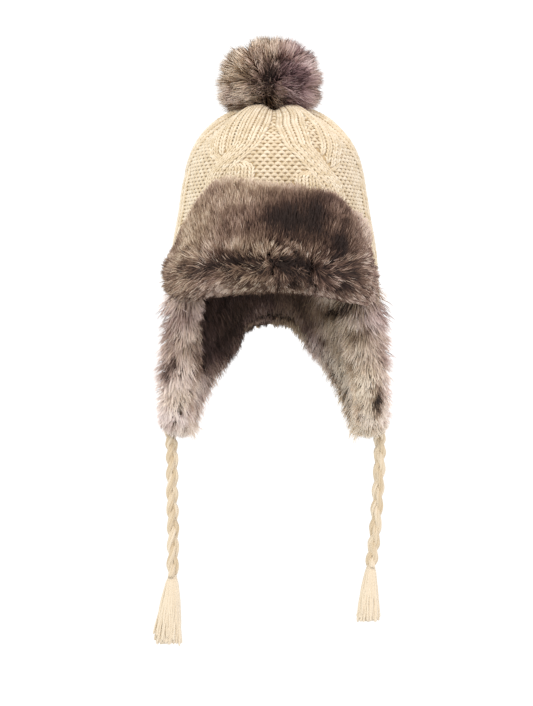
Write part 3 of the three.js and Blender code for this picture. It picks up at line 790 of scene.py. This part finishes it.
# Darker and lighter patches of the flaps' fur: x, z, half width, half height and amount.
# Some are streaks in the pile; others are painted shade where the flaps' inner sides and
# the left flap's tip lie in shadow, and painted light on the right flap's inner edge.
FLAP_STREAKS_LIGHT_AND_SHADE = [
    (-100, -77, 5, 7, -0.9), (-107, -87, 5, 7, -0.9), (-70, -82, 4, 11, -0.6),
    (-109, -30, 4, 8, -0.3), (36, -52, 13, 13, 0.45), (52, -76, 11, 14, 0.5),
    (68, -98, 10, 16, 0.45), (-83, -37, 12, 9, -0.3), (82, -26, 16, 9, -0.45),
    (106, -27, 12, 11, -0.35), (-100, -134, 5, 6, -0.4), (-87, -26, 5, 8, -0.25),
    (-104, -47, 4, 8, -0.25), (62, -26, 12, 6, -0.9), (50, -57, 5, 6, -0.75),
    (88, -45, 6, 8, -0.5), (76, -50, 4, 9, -0.35), (102, -112, 4.5, 17, -1.2),
    (109, -70, 5, 13, -0.35), (73, -80, 3, 9, -0.3), (93, -12, 8, 8, -0.3),
]
# Where its grey leans further to rose: the right flap's top, outer edge and inner edge.
ROSY_MARKS = [(100, -40, 22, 22, 0.6), (118, -85, 12, 50, 0.5), (40, -62, 16, 24, 0.6)]
FLAP_TUFTS = 2200
EDGE_TUFTS = 2100
# How much longer the pile is on each flap's inner side, near its tip.
INNER_FULLNESS = {"left": 0, "right": 5}
# The share by which the pile is shorter at the top of each flap's inner side.
TOP_TRIM = {"left": 0.5, "right": 0}
# By how many degrees the short pile of the nape starts sooner on each side.
NAPE_SHIFT = {"left": 8, "right": 0}
# Where the fur turns from greyish beige to a darker brown under painted shade on each
# flap, going to the nape.
SHADED_BROWN_ANGLES = {"left": (98, 120), "right": (128, 166)}
# How far below the rim the darker brown and its painted shade fade out again.
SHADED_BROWN_FADE = {"left": (50, 88), "right": (28, 56)}
# How light the greyish beige is at each flap's top, how much lighter it gets at the tip,
# and how far its grey leans to rose.
LIGHTNESS = {"left": 0.75, "right": 0.88}
TIP_LIGHTNESS = {"left": 0.42, "right": 0.24}
ROSINESS = {"left": 0.6, "right": 0.1}
# The shares of a fibre's tone at which its colours follow each other, root to tip.
FUR_STOPS = (0, 0.25, 0.5, 0.75, 1)


def fur_material(name, natural, rosy):
    """Acrylic faux fur: fine straight fibres, dark at the root and pale at the tip, with a
    soft low gloss along them. Its shades follow each fibre and the patches of the pile."""
    material, tree, shader = new_material(name)
    tone = add_node(tree, "Attribute", {"attribute_name": "tone"})
    rosiness = add_node(tree, "Attribute", {"attribute_name": "rosy"})
    first = add_node(tree, "ValToRGB", None, {"Fac": (tone, "Fac")})
    set_stops(first, list(zip(FUR_STOPS, natural)))
    second = add_node(tree, "ValToRGB", None, {"Fac": (tone, "Fac")})
    set_stops(second, list(zip(FUR_STOPS, rosy)))
    mix = add_node(
        tree, "Mix", {"data_type": "RGBA"},
        {0: (rosiness, "Fac"), 6: (first, "Color"), 7: (second, "Color")},
    )
    set_inputs(tree, shader, {
        "Base Color": (mix, 2), "Roughness": 0.6, "Specular IOR Level": 0.3,
    })
    return material


# How many clumps of roots the woven back shows in a metre.
BACKING_CLUMPS = 600


def backing_material(name, dark, light):
    """The woven back and the roots of the pile, seen where the fibres part."""
    material, tree, shader = new_material(name)
    place = add_node(tree, "TexCoord")
    roots = add_node(
        tree, "TexNoise", None,
        {"Vector": (place, "Object"), "Scale": BACKING_CLUMPS, "Detail": 3},
    )
    ramp = add_node(tree, "ValToRGB", None, {"Fac": (roots, "Fac")})
    set_stops(ramp, [(0.3, dark), (0.75, light)])
    bump = add_node(tree, "Bump", None, {"Height": (roots, "Fac"), "Distance": 0.002})
    set_inputs(tree, shader, {
        "Base Color": (ramp, "Color"), "Normal": (bump, "Normal"),
        "Roughness": 1, "Specular IOR Level": 0.1,
    })
    return material


MOTTLE_WAVES = 9


def mottle(points, size, seed):
    """Smooth patches from -1 to 1 over points, about size millimetres across."""
    choose = np.random.default_rng(seed)
    ways = unit(choose.normal(size=(MOTTLE_WAVES, 3))) * 2 * math.pi / size
    ways = ways * choose.uniform(0.6, 1.6, (MOTTLE_WAVES, 1))
    phases = choose.uniform(0, 2 * math.pi, MOTTLE_WAVES)
    total = np.sin(points @ ways.T + phases).sum(-1) / math.sqrt(MOTTLE_WAVES)
    return np.clip(total, -1.5, 1.5) / 1.5


def patches(points, marks):
    """Soft oval patches seen from the front. Each mark is x, z, half width, half height
    and how much lighter or darker the pile is there."""
    total = np.zeros(len(points))
    for x, z, wide, high, amount in marks:
        sideways, upward = (points[:, 0] - x) / wide, (points[:, 2] - z) / high
        total += amount * np.exp(-(sideways**2) - upward**2)
    return total


# A fibre's points lie at these shares of its length, and it is a flat ribbon that ends in
# a point. It is drawn wider than a real fibre of 0.05 mm, so that it shows.
FIBRE_SHARES = np.array([0, 0.38, 0.72, 1])
FIBRE_WIDTH = 0.75
FIBRE_TAPER = np.array([0.8, 1, 0.75])
FIBRE_LENGTHS = (0.72, 1.08)
# How far fibres wander from their tuft's way, and a few stray ones.
WANDER = 0.13
STRAY_WANDER = 0.42
STRAY_SHARE = 0.04


def fur(name, tufts, material, node, fibres, spread, gather, root_tone, seed):
    """Pile as ribbons of four points, in tufts whose tips draw together. tufts holds, one
    row each, root, rise (the way out of the back), lay (the way the tip turns), length,
    out (the way the pile faces), tone (how light the tips are) and rosy. root_tone is how
    light the roots are beside the tips."""
    choose = np.random.default_rng(seed)
    tuft = {
        key: np.repeat(np.asarray(value, float), fibres, axis=0) for key, value in tufts.items()
    }
    count = len(tuft["root"])
    rise, lay, out = unit(tuft["rise"]), unit(tuft["lay"]), unit(tuft["out"])
    length = tuft["length"] * choose.uniform(*FIBRE_LENGTHS, count)
    stray = choose.random(count) < STRAY_SHARE
    wander = np.where(stray, STRAY_WANDER, WANDER)[:, None]
    rise = unit(rise + choose.normal(size=(count, 3)) * wander)
    lay = unit(lay + choose.normal(size=(count, 3)) * wander)
    loose = choose.normal(size=(count, 3)) * spread
    loose -= (loose * out).sum(-1, keepdims=True) * out

    s = FIBRE_SHARES[:, None]
    paths = (
        tuft["root"][:, None]
        + loose[:, None] * (1 - gather * s)
        + length[:, None, None] * (rise[:, None] * s * (1 - 0.5 * s) + lay[:, None] * 0.5 * s * s)
    )
    along = unit(np.gradient(paths, axis=1))
    faces_out = np.broadcast_to(out[:, None], along.shape)
    level = unit(np.cross(along, faces_out))
    roll = choose.normal(0, 0.45, count)[:, None, None]
    level = np.cos(roll) * level + np.sin(roll) * np.cross(along, level)
    half = 0.5 * FIBRE_WIDTH * FIBRE_TAPER[:, None] * choose.uniform(0.7, 1.3, (count, 1, 1))
    left, right = paths[:, :3] - level[:, :3] * half, paths[:, :3] + level[:, :3] * half
    ribbon = np.concatenate([np.stack([left, right], 2).reshape(count, 6, 3), paths[:, 3:]], 1)
    normals = unit(np.cross(level, along) + 1.5 * faces_out)
    normals = np.repeat(normals, 2, axis=1)[:, :-1]

    shares = np.repeat(FIBRE_SHARES, 2)[:-1]
    light = np.clip(tuft["tone"] + choose.normal(0, 0.1, count), 0.02, 1.15)
    tone = 0.02 + (root_tone + (1 - root_tone) * shares**0.8) * light[:, None]
    rosy = np.clip(tuft["rosy"] + choose.normal(0, 0.15, count), 0, 1)

    start = (np.arange(count) * len(shares))[:, None]
    quads = np.concatenate([start + [0, 1, 3, 2], start + [2, 3, 5, 4]])
    mesh = new_mesh(name, ribbon, quads.tolist() + (start + [4, 5, 6]).tolist())
    set_values(mesh, "tone", np.clip(tone, 0, 1))
    set_values(mesh, "rosy", np.repeat(rosy, len(shares)))
    add_piece(name, mesh, material, node)
    mesh.normals_split_custom_set_from_vertices(normals.reshape(-1, 3).tolist())


def shown_at(root, rise, lay, length):
    """Where the outer half of each fibre, the part that is seen, lies."""
    return root + 0.42 * length[:, None] * (unit(rise) + unit(lay))


def outward_at(angle):
    """The level way out of the head at an angle."""
    turn = np.radians(angle)
    return np.stack([np.sin(turn), -np.cos(turn), np.zeros_like(turn)], -1)


def hem_angle(angle, side):
    """The angle at which a side's pile is looked up along the edge."""
    return angle + NAPE_SHIFT[side] * smooth(angle, 156, 160)


def nape_shade_and_brown(angle, z, side):
    """How much darker brown and painted shade the pile has, from 0 in front to 1 round the nape.
    """
    return smooth(angle, *SHADED_BROWN_ANGLES[side]) * (1 - smooth(-z, *SHADED_BROWN_FADE[side]))


def front_lightness(z, side):
    """How light the greyish beige pile's tips are at a height."""
    return LIGHTNESS[side] + TIP_LIGHTNESS[side] * smooth(-z, 60, 120)


def fur_edge(angle, side):
    """The fur's own edge, which stands out past the knit's, sideways and down."""
    near = [
        flap_edge(np.clip(angle + step, FLAP_START, NAPE))
        for step in (-FUR_SPREAD_ANGLE, 0, FUR_SPREAD_ANGLE)
    ]
    return np.minimum.reduce(near) - look_up(HEM_PILE, hem_angle(angle, side), 3)


flap_fur = fur_material(
    "greyish_beige_faux_fur",
    ("#1d1510", "#635040", "#a9937a", "#dac8b0", "#f8eddb"),
    ("#1b1312", "#5d4843", "#a38a83", "#d8c3bd", "#f6e8e3"),
)
flap_backing = backing_material("flap_fur_backing", "#41362e", "#857669")
face = -KNIT_WALL - SEAM_GAP
for side, sign in SIDES.items():
    # The woven back's section, as out and z: down beside the crown and the knit, round the
    # knit's edge, and up again behind the pile.
    rings = []
    for angle in np.concatenate([[FLAP_START - 1], flap_angles]):
        depth = 0.55 * look_up(FLAP_FUR_DEPTH, angle)
        knit, edge = flap_edge(max(angle, FLAP_START)), fur_edge(angle, side)
        section = np.array([
            (face - 0.6, FUR_TOP), (face - 0.6, FUR_TOP / 2), (face - 0.6, 0),
            (face, 0.33 * knit), (face, 0.66 * knit), (face, min(knit, edge + 6)),
            (-1, min(knit - 0.8, edge + 5)), (-1, edge + 4), (face, edge + 1),
            (face - 0.8 * depth, edge + 5),
            (face - depth, knit * 0.66 + edge * 0.34 + 7), (face - depth, knit * 0.35),
            (face - 0.6 * depth, FUR_TOP),
        ])
        rings.append(wall_point(sign * angle, section[:, 1], section[:, 0]))
    shell(
        f"flap_fur_backing_{side}", np.array(rings), flap_backing, f"flap_fur_{side}"
    )

    # The pile inside the flap: it stands off the back and lies downwards.
    choose = np.random.default_rng(31 + sign)
    angle = choose.uniform(FLAP_START - 0.5, NAPE - 0.4, FLAP_TUFTS)
    at_nape = hem_angle(angle, side)
    low = fur_edge(angle, side) + 6 + 5 * smooth(at_nape, 155, 165)
    z = low + (FUR_TOP - 2 - low) * choose.random(FLAP_TUFTS)
    depth = 0.45 * look_up(FLAP_FUR_DEPTH, angle)
    root = wall_point(sign * angle, z, face - depth)
    inward = -outward_at(sign * angle)
    forward = outward_at(sign * (angle - 90))
    front = smooth(angle, 95, 62)
    shaded_brown = nape_shade_and_brown(angle, z, side)
    swirl = mottle(root, 40, 6)
    rise = inward + np.array([0, 0, -0.5]) + 0.4 * front[:, None] * forward
    lay = np.array([0, 0, -1.0]) + 0.2 * inward + (0.2 * swirl + 0.15 * front)[:, None] * forward
    length = np.interp(at_nape, (62, 97, 145, 162, 180), (27, 25, 24, 16, 14))
    length *= 1 - TOP_TRIM[side] * front * (1 - smooth(-z, 30, 65))
    seen = shown_at(root, rise, lay, length)
    # The nape's pile is a darker brown with painted shade, as it lies in shadow inside the cap,
    # and has less of it near the pile's lower edge.
    tone = front_lightness(z, side) - (LIGHTNESS[side] - 0.12) * shaded_brown
    tone += 0.2 * mottle(root, 26, 5) * (1 - 0.6 * shaded_brown)
    tone += patches(seen, FLAP_STREAKS_LIGHT_AND_SHADE) * (1 - shaded_brown)
    tone += 0.28 * shaded_brown * smooth(-(z - low), -26, 0)
    rosy = ROSINESS[side] + 0.3 * mottle(root, 50, 7) + 0.4 * shaded_brown
    tufts = {
        "root": root,
        "rise": rise,
        "lay": lay,
        "length": length,
        "out": inward + np.array([0, 0, -0.2]),
        "tone": tone,
        "rosy": rosy + patches(seen, ROSY_MARKS),
    }
    fur(
        f"flap_pile_{side}", tufts, flap_fur, f"flap_fur_{side}",
        fibres=6, spread=1.6, gather=0.45, root_tone=0.36, seed=41 + sign,
    )

    # The pile along the edge: it stands out of the seam in a brush, from inside the flap
    # round to the knit's face, and falls as it gets longer.
    edge_way = np.concatenate([[(FLAP_START, 0)], FLAP_EDGE])
    run = run_along(wall_point(sign * edge_way[:, 0], edge_way[:, 1], 0))
    at = choose.uniform(0, run[-1], EDGE_TUFTS)
    angle, z = (np.interp(at, run, column) for column in edge_way.T)
    next_angle, next_z = (np.interp(at + 2, run, column) for column in edge_way.T)
    on_edge = wall_point(sign * angle, z, 0)
    tangent = unit(wall_point(sign * next_angle, next_z, 0) - on_edge + 1e-6)
    radial = outward_at(sign * angle)
    away = unit(np.cross(tangent, radial)) * sign
    # How far round the edge each tuft stands, from 0 inside the flap to 1 on the knit.
    across = choose.random((EDGE_TUFTS, 1))
    roundabout = np.radians(-75 + 165 * across + choose.normal(0, 14, (EDGE_TUFTS, 1)))
    stand = np.cos(roundabout) * away + np.sin(roundabout) * radial
    onto_knit = smooth(across, 0.72, 1)
    root = on_edge + (2 - 5 * onto_knit) * away + (-16 + 18.5 * across) * radial
    at_nape = hem_angle(angle, side)
    root[:, 2] += look_up(HEM_PILE, at_nape, 2)
    length = 1.05 * look_up(HEM_PILE, at_nape)
    length *= 1 + 0.4 * smooth(angle, 145, 160) * mottle(root, 9, 23)
    length += INNER_FULLNESS[side] * np.exp(-(((angle - 117) / 12) ** 2)) * (1 - across[:, 0])
    length *= 1 - TOP_TRIM[side] * (1 - smooth(-z, 30, 65)) * (1 - smooth(across[:, 0], 0.2, 0.6))
    turned_out = np.clip(across - 0.5, 0, 1)
    rise = stand + np.array([0, 0, -0.2]) + 0.5 * (turned_out * radial)
    lay = 0.45 * stand + np.array([0, 0, -1.0]) + 0.7 * (turned_out * radial)
    lay += 0.25 * mottle(root, 30, 21)[:, None] * radial
    seen = shown_at(root, rise, lay, length)
    # The edge pile round the nape is darker too, with painted shade.
    tone = front_lightness(z, side) - 0.4 * nape_shade_and_brown(angle, z, side) + 0.2 * mottle(root, 20, 8)
    rosy = ROSINESS[side] + 0.3 * mottle(root, 40, 9) + 0.7 * turned_out[:, 0]
    tufts = {
        "root": root,
        "rise": rise,
        "lay": lay,
        "length": length,
        "out": stand + 0.3 * away,
        "tone": tone + patches(seen, FLAP_STREAKS_LIGHT_AND_SHADE) * (angle < 118),
        "rosy": rosy + patches(seen, ROSY_MARKS),
    }
    fur(
        f"flap_edge_pile_{side}", tufts, flap_fur, f"flap_fur_{side}",
        fibres=6, spread=1.6, gather=0.4, root_tone=0.4, seed=51 + sign,
    )

# Front flap. A deep fur flap is folded up from under the rim and stands against the crown.
# Its pile parts along a line above the fold: it lies upwards over that line, turns under
# the fold below it, and fans out sideways from the middle between them.
# The flap ends at this angle on both sides. The parting's and the fold's heights follow.
FRONT_FLAP_END = 61
PARTING = 18
FOLD_MIDDLE = -1
FOLD_LEFT_TEMPLE = -9
FOLD_RIGHT_TEMPLE = -16
FRONT_TUFTS = 11500
# Darker and lighter patches of the pile, as x, z, half width, half height and amount.
FRONT_MARKS = [
    (8, 62, 26, 13, -0.7), (38, 66, 9, 15, -0.5), (62, 36, 10, 14, -0.55),
    (44, 84, 26, 7, -0.25), (52, 52, 26, 28, -0.24), (-43, 82, 30, 18, 0.18),
    (-60, 42, 26, 12, 0.12), (-22, 38, 40, 5, 0.2), (86, 64, 8, 26, 0.3),
    (-58, 68, 3, 8, -0.2), (-28, 72, 3, 7, -0.3), (-24, 58, 3, 6, -0.35),
    (-82, 60, 9, 22, 0.3), (68, 30, 8, 8, -0.3), (30, 42, 16, 5, -0.2),
    (-45, 60, 5, 4, -0.2), (0, PARTING + 1, 80, 6, -0.3), (-38, 26, 16, 8, -0.7),
    (19, 22, 12, 9, -0.65), (-62, 20, 12, 6, -0.3), (-74, 10, 10, 5, -0.55),
    (65, 10, 12, 6, -0.55), (-64, 11, 7, 5, -0.35), (12, 12, 14, 6, -0.35),
    (22, 2, 12, 5, -0.3), (-18, 11, 5, 4, -0.4), (66, -2, 16, 4, -0.4),
    (-96, 12, 8, 6, -0.15), (-98, 28, 8, 14, 0.3), (-62, 54, 15, 18, 0.16),
    (10, 76, 22, 6, -0.25), (24, 6, 34, 7, -0.35), (-65, -6, 34, 6, 0.3),
    (0, -8, 40, 4, 0.12), (60, -13, 34, 4, 0.2),
]

front_fur = fur_material(
    "taupe_faux_fur",
    ("#1c0f0a", "#4b3529", "#7e6653", "#af9881", "#e0d0ba"),
    ("#1b0e0c", "#4a332c", "#7f6359", "#b49a91", "#e3d1ca"),
)
front_backing = backing_material("front_flap_backing", "#0d0908", "#201713")
# How far out of the crown's ground the flap's back starts, and how far in it ends.
front_face = CABLE_RISE + 0.8
inside = -KNIT_WALL - 4


def fold_height(angle):
    """The fold hangs lower at the temples than at the middle of the forehead."""
    temple = np.where(angle < 0, FOLD_LEFT_TEMPLE, FOLD_RIGHT_TEMPLE)
    return FOLD_MIDDLE + (temple - FOLD_MIDDLE) * np.minimum(1, np.abs(angle) / 55) ** 1.5


def end_thinning(angle):
    """How thin the right end of the flap's back is: 0 before it and 1 at the end."""
    return smooth(angle, 38, 57)


# The back's section, as out and z: up beside the crown, over the top edge, down behind the
# pile, and round the fold to the inside of the rim.
rings = []
for angle in np.linspace(0.2 - FRONT_FLAP_END, FRONT_FLAP_END - 0.2, 70):
    height = look_up(FRONT_FLAP, angle)
    depth = 0.7 * look_up(FRONT_FLAP, angle, 2) * (1 - 0.7 * end_thinning(angle))
    fold = fold_height(angle)
    front = front_face + depth
    section = np.array([
        (front_face, -SEAM_GAP), (front_face, 0.3 * height), (front_face, 0.6 * height),
        (front_face, height - 6), (front_face + 1, height - 3),
        (front_face + depth * 0.7, height - 8), (front, height * 0.7), (front, height * 0.4),
        (front + 1, 0.25 * height), (front, fold + 7), (front_face, fold + 3),
        (inside, (fold - SEAM_GAP) / 2 - 0.5), (inside, -SEAM_GAP),
    ])
    rings.append(wall_point(angle, section[:, 1], section[:, 0]))
shell("front_flap_backing", np.array(rings), front_backing, "front_flap")

choose = np.random.default_rng(61)
angle = choose.uniform(0.4 - FRONT_FLAP_END, FRONT_FLAP_END - 0.4, FRONT_TUFTS)
# The pile of the right end stands up past its back, where the flap's corner is full.
height = look_up(FRONT_FLAP, angle) + 16 * smooth(angle, 45, 57)
thin = end_thinning(angle)
depth = look_up(FRONT_FLAP, angle, 2) * (1 - 0.7 * thin)
fold = fold_height(angle)
# Each root lies on a section line, of out and z, from inside the rim, round the fold and up
# to the top. The pile rises out of each point of it the way that its row of stand says.
line = np.stack([
    np.stack(np.broadcast_arrays(out, z), -1)
    for out, z in (
        (-8.0, fold * 0.4), (front_face + 0.1 * depth, fold + 4),
        (front_face + 0.5 * depth, fold + 10), (front_face + 0.7 * depth, 0.4 * height),
        (front_face + 0.7 * depth, 0.75 * height), (front_face + 0.4 * depth, height - 6),
        (front_face + 1, height - 2),
    )
], 1)
stand = np.array([
    (-0.3, -0.6), (0.6, -0.8), (1, -0.3), (1, 0), (0.8, 0.3), (0.7, 0.7), (0.2, 1),
])
pieces_long = np.linalg.norm(np.diff(line, axis=1), axis=-1)
run = run_along(line)
at = choose.random(FRONT_TUFTS) * run[:, -1]
step = np.clip((at[:, None] >= run[:, 1:-1]).sum(1), 0, len(stand) - 2)
each = np.arange(FRONT_TUFTS)
share = ((at - run[each, step]) / np.maximum(pieces_long[each, step], 1e-6))[:, None]
section = line[each, step] * (1 - share) + line[each, step + 1] * share
rising = stand[step] * (1 - share) + stand[step + 1] * share
out, z = section.T
root = wall_point(angle, z, out)
radial = outward_at(angle)
beside = outward_at(angle + 90)
up = np.array([0.0, 0.0, 1.0])
parting = PARTING - 5 * (np.abs(angle) / 60) ** 2 + 4 * mottle(wall_point(angle, 0, 0), 34, 22)
from_parting = z - parting
above = np.clip(from_parting / 14 + choose.normal(0, 0.3, FRONT_TUFTS), -1, 1)
plush = smooth(from_parting, 6, 22)
fan = np.clip(angle / 40, -1, 1) + 0.8 * mottle(root, 42, 12) + choose.normal(0, 0.15, FRONT_TUFTS)
near_parting = np.exp(-((from_parting / 12) ** 2))
below = smooth(-from_parting, 0, 12)
at_fold = smooth(-(z - fold), -16, -4)
sideways = fan * (0.1 + 0.95 * near_parting + 0.45 * below)
at_end = smooth(np.abs(angle), 52, 61) * np.sign(angle) * (1 - 0.8 * smooth(z, 4, 30))
at_end *= 1 - 0.6 * thin
# The right end's corner flares out sideways at this height.
flare = smooth(angle, 47, 59) * np.exp(-(((z - 58) / 20) ** 2))
at_end += 2 * flare
close = 1 - 0.5 * plush - 0.5 * thin * (1 - plush)
rise = (
    radial * (np.maximum(rising[:, :1], 0.15) * close[:, None])
    + up * (rising[:, 1:] + 0.35 * plush[:, None])
    + (0.35 * sideways + 0.7 * at_end)[:, None] * beside
)
upward = np.where(np.abs(above) < 0.25, 0.25 * np.sign(above), above) * (1 - 0.6 * at_fold)
lay = (
    (0.3 - 0.15 * plush + 0.2 * at_fold)[:, None] * radial
    + up * upward[:, None]
    + (sideways + 0.5 * at_end)[:, None] * beside
)
# Pile rooted inside the rim, round the fold, is up to half darker: painted shade inside the cap.
inner = smooth(-out, -2, 6)
length = (23 - 8 * plush - 9 * at_fold) * (1 - 0.35 * smooth(z - height, -20, -4))
length *= 1 - 0.4 * smooth(np.abs(angle), 38, 57) * smooth(z, 4, 34) - 0.35 * thin
length *= 1 - 0.3 * smooth(-angle, 45, 60) - 0.3 * at_fold * (1 - smooth(np.abs(angle), 10, 50))
length += 12 * flare
seen = shown_at(root, rise, lay, length)
coarse = 0.14 + 0.3 * (1 - plush)
tone = 0.57 + patches(seen, FRONT_MARKS) + 0.16 * mottle(seen, 24, 13)
tone += coarse * mottle(seen, 8, 14)
tone += 0.35 * smooth(z - height, -14, -2) + 0.3 * flare
tone += (1 - plush) * np.where(choose.random(FRONT_TUFTS) < 0.25, 0.34, -0.08)
tufts = {
    "root": root,
    "rise": rise,
    "lay": lay,
    "length": length,
    "out": radial + up * (0.35 * rising[:, 1:]),
    "tone": tone * (1 - 0.5 * inner),
    "rosy": 0.25 + 0.5 * smooth(root[:, 0], 40, 90) + 0.3 * mottle(root, 45, 15),
}
# The pile on the upright face is sheared short and lies close. Round the parting and the
# fold it is long and falls into locks, which fewer and fuller tufts give.
short_pile = plush > choose.random(FRONT_TUFTS)
long_pile = ~short_pile & (choose.random(FRONT_TUFTS) < 0.55)
for name, kept, fibres, spread, gather, root_tone in (
    ("front_flap_pile", short_pile, 3, 1.1, 0.15, 0.3),
    ("front_flap_locks", long_pile, 7, 1.3, 0.62, 0.0),
):
    fur(
        name, {key: values[kept] for key, values in tufts.items()}, front_fur,
        "front_flap", fibres, spread, gather, root_tone, seed=71 + fibres,
    )

# Pompom. A ball of the same deep fur is stitched through the gather at the crown's top.
# Its pile stands out all round from a small hard core and parts into soft tufts.
POMPOM_MIDDLE = np.array([-4.0, 2.0, 206.0])
POMPOM_RADIUS = 55
POMPOM_CORE_RADIUS = 32
POMPOM_TUFTS = 2700
# The soft locks that the tufts lean together into.
POMPOM_LOCKS = 85
# Where the pile is rooted, below the core's surface, and how far from the pompom's middle
# the part of it that is seen lies.
ROOT_DEPTH = 6
POMPOM_SEEN = 48
# Darker and lighter patches of the pile, as x, z, half width, half height and amount.
POMPOM_MARKS = [
    (-2, 203, 8, 11, -0.75), (-28, 206, 16, 3, -0.6), (9, 224, 4, 14, -0.85),
    (-5, 219, 5, 15, -0.75), (25, 209, 12, 9, -0.4), (4, 188, 22, 7, -0.5),
    (-24, 192, 9, 5, 0.15), (-34, 236, 20, 10, 0.15), (21, 191, 6, 4, 0.4),
    (-50, 205, 9, 25, 0.25), (48, 215, 9, 16, 0.3), (17, 201, 9, 5, -0.35),
    (-38, 181, 14, 8, 0.3),
]


def clear_of_crown(points, margin):
    """Points moved up to stay over the top of the knitted crown."""
    reach = np.hypot(points[..., 0], points[..., 1] * 0.96)
    outer = PLACES >= place_at(110)
    top = np.interp(reach, form_line[outer, 0][::-1], form_line[outer, 2][::-1])
    moved = points.copy()
    moved[..., 2] = np.maximum(points[..., 2], np.where(reach < 86, top + margin, points[..., 2]))
    return moved


core = bmesh.new()
bmesh.ops.create_icosphere(core, subdivisions=5, radius=1)
for vertex in core.verts:
    point = POMPOM_MIDDLE + np.array(vertex.co) * POMPOM_CORE_RADIUS
    vertex.co = clear_of_crown(point, CABLE_RISE + 1) * MM
bmesh.ops.recalc_face_normals(core, faces=core.faces)
add_piece("pompom_core", mesh_from(core, "pompom_core"), front_backing, "pompom")

pompom_fur = fur_material(
    "pompom_faux_fur",
    ("#1b100b", "#594334", "#947c67", "#c2ac94", "#f0e3d2"),
    ("#1b0f11", "#563d3f", "#907276", "#bfa4a5", "#f0dedc"),
)
choose = np.random.default_rng(81)
rise_share = choose.uniform(-0.78, 1, POMPOM_TUFTS)
turn = choose.uniform(0, 2 * math.pi, POMPOM_TUFTS)
flat = np.sqrt(1 - rise_share**2)
ray = np.stack([flat * np.cos(turn), flat * np.sin(turn), rise_share], -1)
tuft_middles = unit(choose.normal(size=(POMPOM_LOCKS, 3)))
nearest = tuft_middles[np.argmax(ray @ tuft_middles.T, axis=1)]
off_middle = 1 - (ray * nearest).sum(-1)
root = POMPOM_MIDDLE + ray * (POMPOM_CORE_RADIUS - ROOT_DEPTH)
low = smooth(-rise_share, 0.15, 0.7)[:, None]
drift = mottle(ray, 1.6, 17)
lay = ray + 1.6 * (nearest - ray) + 0.25 * drift[:, None] * np.cross(ray, (0, 0, 1.0))
length = POMPOM_RADIUS - POMPOM_CORE_RADIUS + ROOT_DEPTH
length = length * (1.04 - 0.9 * np.clip(off_middle, 0, 0.15))
tone = 0.92 + patches(POMPOM_MIDDLE + ray * POMPOM_SEEN, POMPOM_MARKS) * (ray[:, 1] < 0.1)
tone += 0.3 * mottle(ray, 0.9, 18) - 2.5 * np.clip(off_middle - 0.03, 0, 0.1)
rosy = 0.15 + 0.75 * smooth(ray[:, 0], 0, 0.5) * (1 - 0.6 * smooth(ray[:, 0], 0.7, 1))
tufts = {
    "root": clear_of_crown(root, CABLE_RISE + 1.5),
    "rise": ray + low * np.array([0, 0, 0.5]),
    "lay": lay + low * ray * (1, 1, 0),
    "length": length * (1 - 0.22 * smooth(rise_share, 0.55, 1)),
    "out": ray,
    "tone": tone,
    "rosy": rosy + 0.3 * mottle(ray, 1.2, 19),
}
fur(
    "pompom_pile", tufts, pompom_fur, "pompom",
    fibres=9, spread=1.7, gather=0.6, root_tone=0.0, seed=91,
)

# Studio. The cap hangs over a round white floor under an even white light all round, with
# a large soft light from the upper left, so the cap stands clear of a white ground.
FLOOR_RADIUS = 0.8
FLOOR_HEIGHT = -1.0
LIGHTS_AIM = (0, 0, 0.02)
floor_form = bmesh.new()
bmesh.ops.create_circle(floor_form, cap_ends=True, segments=96, radius=FLOOR_RADIUS)
bmesh.ops.translate(floor_form, verts=floor_form.verts, vec=(0, 0, FLOOR_HEIGHT))
floor_mesh = mesh_from(floor_form, "studio_floor")
paint, paint_tree, paint_shader = new_material("matt_white_studio_paint")
set_inputs(paint_tree, paint_shader, {"Base Color": linear("#fbfbfa"), "Roughness": 0.9})
floor_mesh.materials.append(paint)
studio_floor = bpy.data.objects.new("studio_floor", floor_mesh)
bpy.context.scene.collection.objects.link(studio_floor)

world = bpy.data.worlds.new("white_studio")
world.use_nodes = True
sky = world.node_tree.nodes["Background"]
sky.inputs["Color"].default_value = linear("#ffffff")
sky.inputs["Strength"].default_value = 1.1
bpy.context.scene.world = world
for name, place, size, power, colour in (
    ("key_light", (-1.1, -1.7, 1.5), 1.2, 26, "#fff3e2"),
    ("fill_light", (1.6, -1.5, 0.5), 1.6, 12, "#ffe9e6"),
    ("rim_light", (0.4, 1.6, 1.4), 1.4, 14, "#ffffff"),
):
    data = bpy.data.lights.new(name, "AREA")
    data.size = size
    data.energy = power
    data.color = linear(colour)[:3]
    light = bpy.data.objects.new(name, data)
    light.location = place
    aim = np.array(place) - LIGHTS_AIM
    light.rotation_euler = (
        math.atan2(math.hypot(aim[0], aim[1]), aim[2]), 0, math.atan2(aim[1], aim[0]) + math.pi / 2
    )
    bpy.context.scene.collection.objects.link(light)
bpy.context.scene.view_settings.view_transform = "Standard"
